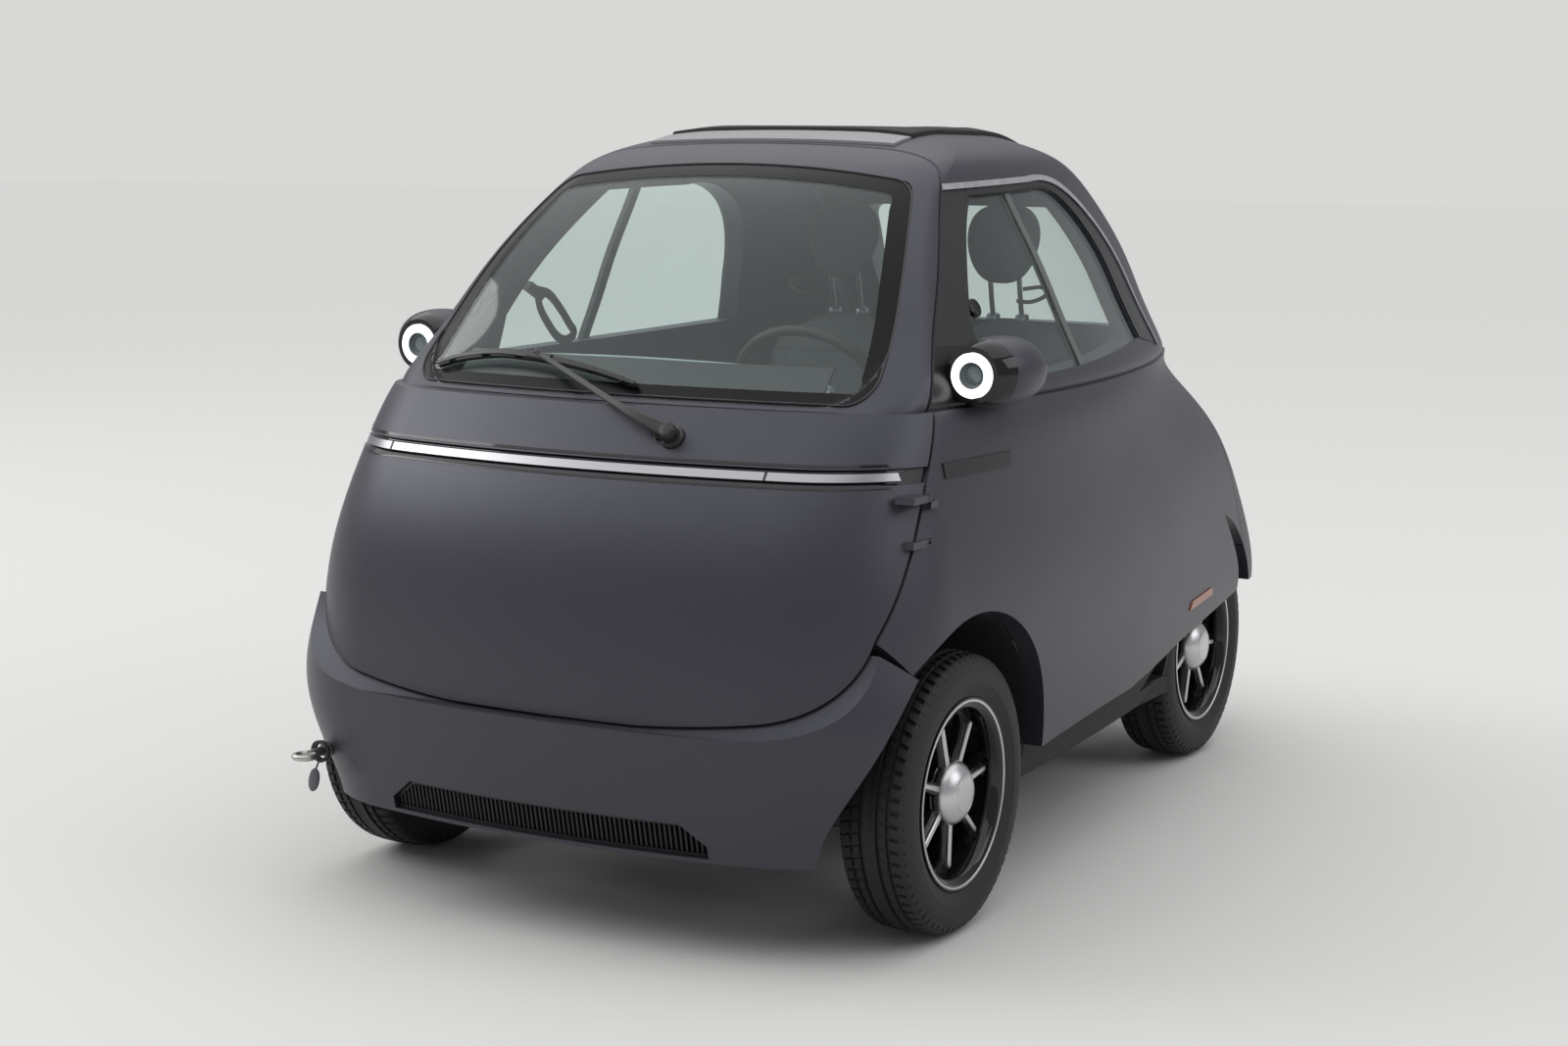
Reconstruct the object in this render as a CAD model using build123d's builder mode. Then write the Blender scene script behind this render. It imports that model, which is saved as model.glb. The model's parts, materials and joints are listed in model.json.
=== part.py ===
"""Two-seat electric microcar whose whole front is the door.

Frame, in mm: +X is the car's left, -Y its front, +Z up. The origin is on the ground under the
middle of the overall box. Every part is drawn where it sits with the door and tailgate shut.
"""
import math
import os
from collections import namedtuple

from build123d import *

# ---------------------------------------------------------------- driving dimensions
body_wall = 42.0           # outer skin to inner trim of the lower body and door
pillar_wall = 38.0         # the same round the cabin's windows
roof_wall = 30.0           # outer skin to headlining
seam_gap = 6.0             # running gap round the door and the tailgate
gate_skin = 8.0            # depth of the tailgate's full-width skin
gate_step = 10.0           # how much narrower it is on each side behind that
panel_gap = 3.0            # gap between fixed panels
glass_inset = 4.0          # glass below the outer skin
glass_thickness = 5.0
reach = 900.0              # how far the cutting outlines run either side of the middle

wheel_radius = 268.0
tyre_width = 145.0
rim_radius = 166.0         # bead seat
flange_radius = 182.0
front_axle_y = -783.0
rear_axle_y = 819.0
front_wheel_x = 595.5      # middle of the tyre
rear_wheel_x = 472.5
arch_radius = 352.0
kingpin_x = 505.0
spoke_count = 7
spoke_phase = 21.0         # degrees from upright to the first spoke

hinge_x = 642.0            # upright hinge line of the front door
hinge_y = -925.0
wheel_centre = (235.0, -600.0, 960.0)    # middle of the steering wheel
shelf_half_width = 480.0   # shelf under the windscreen, and the lip that turns up behind the glass
shelf_lip_half_width = 410.0
shelf_lip_top = 1058.0
shelf_lip_thickness = 12.0

# one horizontal section of the body: eight tangent arcs, described from nose to tail
Level = namedtuple("Level", "z nose nose_r nose_corner half_width widest_y side_r tail_corner tail_r tail")
LOWER = (
    Level(190, -1205, 2300, 280, 640, -700, 12000, 120, 3000, 1225),
    Level(320, -1228, 2250, 290, 668, -700, 12500, 120, 3000, 1250),
    Level(430, -1232, 2200, 300, 680, -700, 12500, 120, 3000, 1258),
    Level(560, -1226, 2200, 300, 688, -600, 9200, 130, 2800, 1235),
    Level(720, -1195, 2150, 290, 676, -500, 6800, 150, 2400, 1175),
    Level(880, -1115, 2100, 260, 660, -400, 3930, 180, 2000, 1075),
    Level(985, -1035, 2100, 220, 642, -350, 3120, 200, 1700, 985),
)
UPPER = (
    Level(975, -990, 2300, 110, 620, -330, 3220, 180, 1500, 985),
    Level(1080, -892, 2200, 100, 595, -310, 2940, 180, 1300, 870),
    Level(1190, -803, 2000, 95, 545, -290, 2920, 180, 1200, 765),
    Level(1300, -695, 1950, 90, 490, -270, 2930, 180, 1100, 650),
    Level(1380, -596, 1900, 95, 450, -240, 2710, 180, 1000, 530),
    Level(1430, -510, 1800, 110, 425, -200, 2300, 170, 900, 400),
    Level(1468, -400, 1500, 130, 362, -150, 2000, 160, 800, 270),
    Level(1493, -240, 1000, 120, 240, -100, 1400, 120, 600, 120),
)
BUMPER = (
    Level(190, -1222, 2300, 300, 664, -500, 6000, 120, 3000, 1225),
    Level(320, -1250, 2250, 300, 706, -500, 6000, 120, 3000, 1250),
    Level(415, -1259, 2200, 300, 728, -500, 5600, 120, 3000, 1258),
    Level(500, -1256, 2200, 300, 716, -500, 5600, 120, 3000, 1250),
    Level(620, -1235, 2200, 300, 694, -500, 5600, 120, 3000, 1230),
)


# ---------------------------------------------------------------- helpers
def section_arcs(v, inset):
    """The eight tangent arcs of one level as (start, middle, end), counter-clockwise."""
    nose_c = Vector(0, v.nose + v.nose_r)
    side_c = Vector(v.half_width - v.side_r, v.widest_y)
    tail_c = Vector(0, v.tail - v.tail_r)

    def corner(end_c, end_r, corner_r, way):
        a = end_r - corner_r
        b = v.side_r - corner_r
        line = side_c - end_c
        along = (a * a - b * b + line.length ** 2) / (2 * line.length)
        off = math.sqrt(a * a - along * along)
        u = line / line.length
        found = [end_c + u * along + Vector(-u.Y, u.X) * (s * off) for s in (1, -1)]
        return max(found, key=lambda c: way * c.Y)

    def on(centre, towards, radius):
        return centre + (towards - centre).normalized() * radius

    def mirrored(p):
        return Vector(-p.X, p.Y)

    def arc(centre, radius, p, q):
        middle = (p - centre).normalized() + (q - centre).normalized()
        return (on(centre, p, radius), centre + middle.normalized() * radius, on(centre, q, radius))

    front_c = corner(nose_c, v.nose_r, v.nose_corner, -1)
    back_c = corner(tail_c, v.tail_r, v.tail_corner, 1)
    p1 = on(nose_c, front_c, v.nose_r - inset)
    p2 = on(side_c, front_c, v.side_r - inset)
    p3 = on(side_c, back_c, v.side_r - inset)
    p4 = on(tail_c, back_c, v.tail_r - inset)
    half = (
        (front_c, v.nose_corner - inset, p1, p2),
        (side_c, v.side_r - inset, p2, p3),
        (back_c, v.tail_corner - inset, p3, p4),
    )
    arcs = [arc(nose_c, v.nose_r - inset, mirrored(p1), p1)]
    arcs += [arc(*h) for h in half]
    arcs += [arc(tail_c, v.tail_r - inset, p4, mirrored(p4))]
    arcs += [arc(mirrored(c), r, mirrored(q), mirrored(p)) for c, r, p, q in reversed(half)]
    return arcs


made_hulls = {}


def hull(levels, inset=0.0, drop=0.0):
    """The solid inside a table of levels, moved in by inset and down by drop."""
    key = (levels, inset, drop)
    if key in made_hulls:
        return made_hulls[key]
    with BuildPart() as solid:
        for v in levels:
            with BuildSketch(Plane.XY.offset(v.z - drop)):
                with BuildLine():
                    for a, m, b in section_arcs(v, inset):
                        ThreePointArc(a, m, b)
                make_face()
        loft()
    made_hulls[key] = solid.part
    return solid.part


def side_outline(*runs, grow=0.0):
    """A face in the YZ plane from runs of 2 points (line) or 3 points (arc)."""
    with BuildSketch(Plane.YZ) as face:
        with BuildLine():
            for run in runs:
                if len(run) == 2:
                    Line(*run)
                else:
                    ThreePointArc(*run)
        make_face()
        if grow:
            offset(amount=grow, kind=Kind.ARC)
    return face.sketch


def through_x(face, low=-reach, high=reach):
    """Run a YZ outline along X from low to high."""
    with BuildPart() as cutter:
        add(extrude(face.moved(Location((low, 0, 0))), amount=high - low, dir=(1, 0, 0)))
    return cutter.part


def rounded_outline(points, radius, grow=0.0):
    """An XZ-plane outline, mirrored left to right, with round corners."""
    both = list(points) + [(-x, z) for x, z in reversed(points)]
    with BuildSketch(Plane.XZ) as face:
        Polygon(*both, align=None)
        fillet(face.vertices(), radius)
        if grow:
            offset(amount=grow, kind=Kind.ARC)
    return face.sketch


def through_y(face, low, high):
    """Run an XZ outline along Y from low to high."""
    return extrude(face.moved(Location((0, low, 0))), amount=high - low, dir=(0, 1, 0))


def block(x, y, z):
    """A box from (low, high) pairs."""
    with BuildPart() as made:
        with Locations(((x[0] + x[1]) / 2, (y[0] + y[1]) / 2, (z[0] + z[1]) / 2)):
            Box(x[1] - x[0], y[1] - y[0], z[1] - z[0])
    return made.part


def rod(a, b, radius):
    """A round bar between two points."""
    a = Vector(*a)
    b = Vector(*b)
    with BuildPart() as made:
        with BuildSketch(Plane(origin=a, z_dir=(b - a).normalized())):
            Circle(radius)
        extrude(amount=(b - a).length)
    return made.part


def both_sides(shape):
    """A shape and its mirror image on the other side of the car."""
    return [shape, mirror(shape, about=Plane.YZ)]


def save(name, *shapes):
    """Write one part, made of shapes that do not touch, under its name."""
    with BuildPart() as made:
        for shape in shapes:
            add(shape)
    made.part.label = name
    export_step(made.part, "parts/" + name + ".step")
    box = made.part.bounding_box()
    print(f"{name:22s} {len(made.part.solids()):2d} solids  {made.part.volume / 1e6:9.3f} l  "
          f"x {box.min.X:7.1f} {box.max.X:7.1f}  y {box.min.Y:7.1f} {box.max.Y:7.1f}  "
          f"z {box.min.Z:7.1f} {box.max.Z:7.1f}")


os.makedirs("parts", exist_ok=True)

# ---------------------------------------------------------------- body and door shell
lower_outer = hull(LOWER)
upper_outer = hull(UPPER)
lower_inner = hull(LOWER, body_wall)
upper_inner = hull(UPPER, pillar_wall, roof_wall)
cabin_bottom = block((-reach, reach), (-1300, 1300), (100, 240))

# the seam between the door and the body, as seen from the side
seam_runs = (
    ((-1300, 432), (-1222, 432)),
    ((-1222, 432), (-1135, 500), (-1070, 605)),
    ((-1070, 605), (-955, 785), (-822, 1000)),
    ((-822, 1000), (-640, 1212), (-448, 1414)),
    ((-448, 1414), (-404, 1468)),
    ((-404, 1468), (-385, 1520)),
    ((-385, 1520), (-1300, 1520)),
    ((-1300, 1520), (-1300, 432)),
)
door_zone = through_x(side_outline(*seam_runs))
door_clear = through_x(side_outline(*seam_runs, grow=seam_gap))

# the windscreen and rear window, as seen from the front and the back
with BuildSketch(Plane.XZ) as windscreen_sketch:
    with BuildLine():
        ThreePointArc((-400, 1396), (0, 1427), (400, 1396))
        ThreePointArc((400, 1396), (484, 1191), (519, 991))
        Line((519, 991), (-519, 991))
        ThreePointArc((-519, 991), (-484, 1191), (-400, 1396))
    make_face()
    fillet(windscreen_sketch.vertices().sort_by(Axis.Y)[2:], 42)
    fillet(windscreen_sketch.vertices().sort_by(Axis.Y)[:2], 95)
windscreen_face = windscreen_sketch.sketch
rear_window_points = ((255, 1325), (300, 1180), (322, 1035))
rear_window_face = rounded_outline(rear_window_points, 45)
tailgate_points = ((300, 1368), (352, 1180), (388, 830))
tailgate_face = rounded_outline(tailgate_points, 50)
tailgate_clear = rounded_outline(tailgate_points, 50, grow=seam_gap)

# the side windows
window_runs = (
    ((-372, 1366), (-60, 1374)),
    ((-60, 1374), (150, 1330), (272, 1160)),
    ((272, 1160), (318, 1048)),
    ((318, 1048), (-60, 1030), (-560, 1022)),
    ((-560, 1022), (-590, 1105)),
    ((-590, 1105), (-480, 1270), (-372, 1366)),
)
window_face = side_outline(*window_runs)

shell = (lower_outer + upper_outer) - lower_inner - upper_inner
windscreen_cut = through_y(windscreen_face, -1200, -200)
rear_window_cut = through_y(rear_window_face, 300, 1300)
tailgate_zone = through_y(tailgate_face, 330, 1350)
tailgate_clear_zone = through_y(tailgate_clear, 300, 1350)
window_cut_left = through_x(window_face, 250, reach)
window_cut_right = through_x(window_face, -reach, -250)


# ---------------------------------------------------------------- front door
strip_band = block((-reach, reach), (-1200, -700), (866, 894))
strip_recess = (lower_outer - hull(LOWER, 12)) & strip_band & door_zone
door_shell = (shell & door_zone) - windscreen_cut - strip_recess

bezel_front = ((hull(LOWER, 7) - hull(LOWER, 12)) & strip_band & door_zone)
save("strip_bezel_front", bezel_front)
bar_band = block((-reach, reach), (-1200, -950), (873, 887))
save("light_bar_front", (hull(LOWER, 1) - hull(LOWER, 7)) & bar_band & door_zone)

pane_outer = hull(UPPER, glass_inset)
pane_inner = hull(UPPER, glass_inset + glass_thickness)
pane = pane_outer - pane_inner
save("windscreen", pane & windscreen_cut & door_zone)

# shelf under the windscreen, carried by the door
shelf_runs = (
    ((-930, 962), (-700, 940)),
    ((-700, 940), (-690, 905), (-720, 890)),
    ((-720, 890), (-1010, 880)),
    ((-1010, 880), (-1010, 962)),
    ((-1010, 962), (-930, 962)),
)
shelf = through_x(side_outline(*shelf_runs), -shelf_half_width, shelf_half_width)
# its front edge turns up behind the glass
lip_gap = glass_inset + glass_thickness + 10
lip_band = block((-shelf_lip_half_width, shelf_lip_half_width), (-1010, -700), (950, shelf_lip_top))
shelf_lip = (hull(UPPER, lip_gap) - hull(UPPER, lip_gap + shelf_lip_thickness)) & lip_band & door_zone
lip_foot = shelf_lip & block((-reach, reach), (-1010, -700), (975, 990))
shelf_lip = shelf_lip + lip_foot.moved(Location((0, -11, -12))) + lip_foot.moved(Location((0, -22, -24)))
door_shelf = (shelf & door_zone & hull(LOWER, body_wall)) + (shelf & upper_inner & door_zone) + shelf_lip
save("door_shelf", door_shelf - door_shell)

# wiper: pivot boss, arm over the nose, and blade just off the glass
wiper_boss = ((192, -1040, 917), (192, -1084, 950))
wiper_start = (192, -1078, 946)
wiper_knee = (95, -1067, 979)
wiper_elbow = (-193, -930, 1060)
blade_points = (
    (-462, -903, 1027), (-396, -900, 1044), (-300, -907, 1054), (-178, -924, 1049), (44, -960, 1017),
)
wiper = rod(*wiper_boss, 14) + rod(wiper_start, wiper_knee, 6) + rod(wiper_knee, wiper_elbow, 6)
wiper = wiper + rod(wiper_elbow, (-190, -920, 1048), 6)
for start, end in zip(blade_points, blade_points[1:]):
    wiper = wiper + rod(start, end, 7)
save("wiper", wiper - [lower_outer, upper_outer])

# ---------------------------------------------------------------- body shell
arch_cut = rod((-reach, front_axle_y, 262), (-350, front_axle_y, 262), arch_radius)
arch_cut = arch_cut + mirror(arch_cut, about=Plane.YZ)
sill_runs = (
    ((-1400, 100), (-1400, 288)),
    ((-1400, 288), (-434, 288)),
    ((-434, 288), (-180, 303), (80, 309)),
    ((80, 309), (250, 328), (420, 352)),
    ((420, 352), (700, 374), (1000, 390)),
    ((1000, 390), (1400, 398)),
    ((1400, 398), (1400, 100)),
    ((1400, 100), (-1400, 100)),
)
under_sill = through_x(side_outline(*sill_runs))
nose_runs = (
    ((-1400, 100), (-1400, 600)),
    ((-1400, 600), (-1076, 600)),
    ((-1076, 600), (-1010, 532)),
    ((-1010, 532), (-900, 420)),
    ((-900, 420), (-900, 100)),
    ((-900, 100), (-1400, 100)),
)
nose_zone = through_x(side_outline(*nose_runs))
nose_clear = through_x(side_outline(*nose_runs, grow=panel_gap))
tail_runs = (
    ((1000, 780), (1018, 700)),
    ((1018, 700), (1052, 420)),
    ((1052, 420), (1052, 100)),
    ((1052, 100), (1400, 100)),
    ((1400, 100), (1400, 780)),
    ((1400, 780), (1000, 780)),
)
tail_zone = through_x(side_outline(*tail_runs))
tail_clear = through_x(side_outline(*tail_runs, grow=panel_gap))
rear_well = rod((380, rear_axle_y, 290), (568, rear_axle_y, 290), wheel_radius + 30)
rear_well = rear_well + mirror(rear_well, about=Plane.YZ)

# hinge lines: (height or place along the line, length) of each knuckle pair
door_knuckles = ((742, 26), (822, 26))
gate_knuckles = (-215, 189)
gate_y = 532.0
gate_z = 1386.0
pin_radius = 4.0
running_gap = 0.3


def door_hinge_part(z, length, outer, strap_y):
    """One knuckle on the door's hinge line with its strap towards strap_y."""
    low = min(hinge_y, strap_y)
    high = max(hinge_y, strap_y)
    knuckle_body = rod((hinge_x, hinge_y, z), (hinge_x, hinge_y, z + length), outer)
    return knuckle_body + block((hinge_x - 34, hinge_x + outer - 2), (low, high), (z, z + length))


body_extras = []
door_extras = []
hinge_pockets = []
for z, length in door_knuckles:
    fixed = door_hinge_part(z, length / 2, 7, hinge_y + 34)
    fixed = fixed + rod((hinge_x, hinge_y, z), (hinge_x, hinge_y, z + length), pin_radius)
    moving = door_hinge_part(z + length / 2 + running_gap, length / 2, 7, hinge_y - 62)
    moving = moving - rod((hinge_x, hinge_y, z), (hinge_x, hinge_y, z + 2 * length), pin_radius + running_gap)
    moving = moving - block((0, hinge_x - 8), (hinge_y - 8, hinge_y + 40), (z, z + 2 * length))
    body_extras.append(fixed - door_clear)
    door_extras.append(moving - lower_outer)
    top = z + length + 1 + running_gap
    hinge_pockets.append(rod((hinge_x, hinge_y, z + length / 2), (hinge_x, hinge_y, top), 8))
gate_extras = []
for x in gate_knuckles:
    pin = rod((x, gate_y, gate_z), (x + 26, gate_y, gate_z), pin_radius)
    root = block((x, x + 12), (gate_y - 24, gate_y + 7), (gate_z - 7, gate_z + 7))
    body_extras.append((pin + root) - tailgate_clear_zone)
    ear = rod((x + 12 + running_gap, gate_y, gate_z), (x + 26, gate_y, gate_z), 8)
    ear_runs = (
        ((gate_y - 2, gate_z + 8), (gate_y + 26, gate_z - 10)),
        ((gate_y + 26, gate_z - 10), (gate_y + 26, gate_z - 40)),
        ((gate_y + 26, gate_z - 40), (gate_y - 6, gate_z - 18)),
        ((gate_y - 6, gate_z - 18), (gate_y - 2, gate_z + 8)),
    )
    ear = ear + through_x(side_outline(*ear_runs), x + 12 + running_gap, x + 26)
    gate_extras.append(ear - rod((x - 5, gate_y, gate_z), (x + 40, gate_y, gate_z), pin_radius + running_gap))
    hinge_pockets.append(rod((x + 12, gate_y, gate_z), (x + 32, gate_y, gate_z), 14))

gate_rebate = through_y(rounded_outline(tailgate_points, 50, grow=seam_gap + 12), 300, 1350)
gate_rebate = (hull(LOWER, 7) & gate_rebate) + (hull(UPPER, 7) & gate_rebate)
around = shell - [
    gate_rebate, door_clear, window_cut_left, window_cut_right, tailgate_clear_zone, arch_cut, under_sill,
    nose_clear, tail_clear, rear_well, *hinge_pockets,
]
save("body_shell", around + body_extras)

save("tail_panel", (shell & tail_zone) - [tailgate_clear_zone, under_sill, rear_well])

bumper_solid = hull(BUMPER) - hull(BUMPER, body_wall)
grille_points = ((300, 262), (352, 222), (352, 198))
grille_runs = [(-x, z) for x, z in grille_points] + [(x, z) for x, z in reversed(grille_points)]
with BuildSketch(Plane.XZ) as grille_outline:
    Polygon(*grille_runs, align=None)
grille_cut = through_y(grille_outline.sketch, -1400, -900)
ledge_runs = (
    ((-1400, 436), (-1228, 426)),
    ((-1228, 426), (-1140, 490), (-1080, 580)),
    ((-1080, 580), (-1010, 526)),
    ((-1010, 526), (-860, 526)),
    ((-860, 526), (-860, 100)),
    ((-860, 100), (-1400, 100)),
    ((-1400, 100), (-1400, 436)),
)
ledge_zone = through_x(side_outline(*ledge_runs))
eye_x = -545.0
eye_z = 282.0
eye_hole = rod((eye_x, -1300, eye_z), (eye_x, -1000, eye_z), 15)
bumper = (bumper_solid & ledge_zone) - [arch_cut, door_clear, grille_cut, eye_hole]
save("bumper_front", bumper)
grille_face = hull(BUMPER, 12) - hull(BUMPER, 30)
grille = grille_face & grille_cut
slots = [block((x - 5, x + 5), (-1400, -900), (206, 254)) for x in range(-280, 281, 20)]
save("grille_front", grille - slots)

# ---------------------------------------------------------------- tailgate
tail_glass_zone = rear_window_cut & tailgate_zone
# behind its skin the gate is narrower, so that its inner edges swing out past the body
gate_core = through_y(rounded_outline(tailgate_points, 50, grow=-gate_step), 300, 1350)
gate_sides = (tailgate_zone - gate_core) & block((-reach, reach), (300, 1350), (840, 1330))
gate_relief = (hull(LOWER, gate_skin) & gate_sides) + (hull(UPPER, gate_skin) & gate_sides)
save("door_shell", door_shell + door_extras)
save("tailgate", ((shell & tailgate_zone) - rear_window_cut - gate_relief) + gate_extras)
save("rear_glass", pane & tail_glass_zone)
rear_bar = block((-360, 360), (900, 1300), (782, 806))
tail_lamp = (hull(LOWER, -6) - lower_outer) & rear_bar
save("light_bar_rear", tail_lamp)

# ---------------------------------------------------------------- side glass and trim
divider_runs = (
    ((-212, 1400), (-186, 1400)),
    ((-186, 1400), (-150, 1010)),
    ((-150, 1010), (-176, 1010)),
    ((-176, 1010), (-212, 1400)),
)
divider_zone = through_x(side_outline(*divider_runs))
side_pane = pane & (window_cut_left + window_cut_right)
save("side_glass", side_pane - divider_zone)
divider_band = (hull(UPPER, 1) - hull(UPPER, 14)) & divider_zone
save("window_dividers", divider_band & (window_cut_left + window_cut_right))

rail_runs = (
    ((-462, 1392), (-60, 1404)),
    ((-60, 1404), (275, 1330), (452, 1160)),
    ((452, 1160), (556, 1022)),
    ((556, 1022), (544, 1016)),
    ((544, 1016), (440, 1150)),
    ((440, 1150), (265, 1320), (-60, 1393)),
    ((-60, 1393), (-470, 1381)),
    ((-470, 1381), (-462, 1392)),
)
rail_zone = through_x(side_outline(*rail_runs))
save("side_rails", ((hull(UPPER, -6) - upper_outer) & rail_zone) - door_clear)

name_band = block((-reach, reach), (-846, -600), (868, 896))
save("side_strips", ((hull(LOWER, -3) - lower_outer) & name_band) - door_clear)
marker_runs = (
    ((482, 416), (500, 435)),
    ((500, 435), (674, 440)),
    ((674, 440), (686, 422)),
    ((686, 422), (482, 416)),
)
marker_band = through_x(side_outline(*marker_runs))
save("side_markers", (hull(LOWER, -3) - lower_outer) & marker_band)

# ---------------------------------------------------------------- roof
fabric_plan = block((-288, 288), (-305, 300), (1440, 1600))
upper_raised = hull(UPPER, -2, -8)
save("fabric_roof", (upper_raised - upper_outer) & fabric_plan)
header_plan = block((-288, 288), (-384, -308), (1400, 1600))
save("roof_header", ((hull(UPPER, -1, -5) - upper_outer) & header_plan) - door_clear)

# ---------------------------------------------------------------- lamp pods
Ring = namedtuple("Ring", "y x z half_x half_z")
POD = (
    Ring(-736, 636, 1047, 53, 53),
    Ring(-700, 645, 1049, 69, 63),
    Ring(-640, 650, 1050, 76, 66),
    Ring(-585, 650, 1049, 70, 60),
    Ring(-556, 648, 1047, 57, 50),
)
pod_split = -700.0
with BuildPart() as pod_solid:
    for r in POD:
        with BuildSketch(Plane(origin=(r.x, r.y, r.z), x_dir=(1, 0, 0), z_dir=(0, -1, 0))):
            Ellipse(r.half_x, r.half_z)
    loft()
lamp_x = 636.0
lamp_z = 1047.0
lamp_radius = 42.0
lens_radius = 24.0
pod = pod_solid.part - shell - rod((lamp_x, -750, lamp_z), (lamp_x, -716, lamp_z), lamp_radius + 1)
pod_front = pod & block((400, 800), (-800, pod_split), (900, 1200))
pod_back = pod & block((400, 800), (pod_split, -400), (900, 1200))
save("pod_fronts", *both_sides(pod_front))
save("pod_backs", *both_sides(pod_back))
ring = rod((lamp_x, -738, lamp_z), (lamp_x, -716, lamp_z), lamp_radius)
ring = ring - rod((lamp_x, -760, lamp_z), (lamp_x, -700, lamp_z), lens_radius)
save("lamp_rings", *both_sides(ring))
save("lamp_lenses", *both_sides(rod((lamp_x, -732, lamp_z), (lamp_x, -716, lamp_z), lens_radius)))
with BuildPart() as mirror_glass:
    with BuildSketch(Plane(origin=(657, -556, 1047), x_dir=(1, 0, 0), z_dir=(0, -1, 0))):
        Ellipse(47, 44)
    extrude(amount=-4)
save("mirror_glasses", *both_sides(mirror_glass.part))

# black patch under each pod, and the dark pillar between the door and the side window
patch_runs = (
    ((-860, 990), (-600, 990)),
    ((-600, 990), (-600, 1092)),
    ((-600, 1092), (-860, 1092)),
    ((-860, 1092), (-860, 990)),
)
pillar_runs = (
    ((-860, 1094), (-590, 1094)),
    ((-590, 1094), (-574, 1142)),
    ((-574, 1142), (-480, 1274), (-380, 1366)),
    ((-380, 1366), (-380, 1378)),
    ((-380, 1378), (-860, 1378)),
    ((-860, 1378), (-860, 1094)),
)
pillar_skin = hull(UPPER, -1.5) - upper_outer
patches = (pillar_skin & through_x(side_outline(*patch_runs))) - [door_clear, pod, mirror(pod, about=Plane.YZ)]
save("pillar_patches", patches)
trims = (pillar_skin & through_x(side_outline(*pillar_runs))) - [door_clear, pod, mirror(pod, about=Plane.YZ)]
save("pillar_trims", trims)

# ---------------------------------------------------------------- tow eye
with BuildPart() as tow_eye:
    add(rod((eye_x, -1218, eye_z), (eye_x, -1112, eye_z), 9))
    with Locations(Location((eye_x, -1232, eye_z))):
        Torus(20, 6)
tow_collar = rod((eye_x, -1170, eye_z), (eye_x, -1112, eye_z), 14.7)
save("tow_eye", tow_eye.part + tow_collar)

# ---------------------------------------------------------------- floor, axles and drive
floor_low = 212.0
floor_top = 250.0
front_floor_x = 322.0
FLOOR = (
    (front_floor_x, -1110), (front_floor_x, -425), (560, -425), (560, 520), (360, 520), (360, 640),
)
with BuildPart() as floor_plate:
    with BuildSketch(Plane.XY.offset(floor_low)):
        Polygon(*(list(FLOOR) + [(-x, y) for x, y in reversed(FLOOR)]), align=None)
    extrude(amount=floor_top - floor_low)
boot_floor = block((-392, 392), (505, 1120), (440, 458)) + block((-392, 392), (505, 520), (250, 458))
wheel_house = block((380, 392), (505, 1120), (440, 600)) + block((380, 600), (505, 1120), (588, 600))
wheel_house = wheel_house + block((380, 600), (505, 517), (250, 600))
wheel_house = wheel_house & hull(LOWER, body_wall)
sill_wall = block((548, 640), (-425, 517), (floor_low, 400)) & hull(LOWER, body_wall)
sill_wall = sill_wall - block((548, 572), (-500, 600), (floor_top, 500))
toe_top = floor_top + 6
seat_floor_top = floor_top + 4
toe_board = block((-front_floor_x, front_floor_x), (-1110, -700), (floor_top, toe_top))
seat_step = block((-560, 560), (-20, 500), (floor_top, seat_floor_top))
floor_pan = floor_plate.part + toe_board + seat_step + both_sides(sill_wall)
save("floor_pan", floor_pan - [rear_well])
save("boot_tub", (boot_floor + both_sides(wheel_house)) - [rear_well] - both_sides(sill_wall))

tower_x = (front_floor_x + 6, front_floor_x + 30)
lower_arm_z = 186.0
upper_arm_z = 350.0
arm_half = 11.0
kingpin_radius = 15.0
stub_radius = 20.0
tower = block(tower_x, (-860, -706), (150, 376))
for z in (lower_arm_z, upper_arm_z):
    tower = tower + block((front_floor_x + 20, kingpin_x + 24), (-807, -759), (z - arm_half, z + arm_half))
kingpin_bore = kingpin_radius + running_gap
kingpin_bore = rod((kingpin_x, front_axle_y, 100), (kingpin_x, front_axle_y, 500), kingpin_bore)
tower = tower - kingpin_bore
rails = [block((x - 20, x + 20), (-1250, -860), (192, 206)) & hull(BUMPER, body_wall + running_gap)
         for x in (-220, 220)]
front_frame = block((-tower_x[1], tower_x[1]), (-860, -706), (150, floor_low)) + both_sides(tower) + rails
save("front_frame", front_frame)

liner = rod((360, front_axle_y, 262), (640, front_axle_y, 262), arch_radius + 2)
liner = liner - rod((364, front_axle_y, 262), (650, front_axle_y, 262), arch_radius - 3)
liner = (liner - block((300, 700), (-1300, -300), (0, 262))) & hull(LOWER, body_wall + running_gap)
liner = liner - block((350, 370), (-830, -736), (320, 380))
save("arch_liners", *both_sides(liner))

knuckle = rod((kingpin_x, front_axle_y, 170), (kingpin_x, front_axle_y, 366), kingpin_radius)
stub_end = (front_wheel_x + 8, front_axle_y, wheel_radius)
knuckle = knuckle + rod((kingpin_x, front_axle_y, wheel_radius), stub_end, stub_radius)
knuckle = knuckle + rod((kingpin_x, front_axle_y, lower_arm_z + arm_half + 1),
                        (kingpin_x, front_axle_y, upper_arm_z - arm_half - 1), 22)
save("knuckle_left", knuckle)
save("knuckle_right", mirror(knuckle, about=Plane.YZ))
stub_x = rear_wheel_x + 8
rear_beam = rod((-stub_x, rear_axle_y, wheel_radius), (stub_x, rear_axle_y, wheel_radius), stub_radius)
trailing = block((300, 344), (520 + running_gap, rear_axle_y + 20), (floor_top + running_gap, 292))
rear_beam = rear_beam - block((-160, 160), (660, 1000), (150, 400)) + both_sides(trailing)
save("rear_axle", rear_beam)
save("motor_block", block((-160, 160), (690, 950), (170, 430)))
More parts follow.
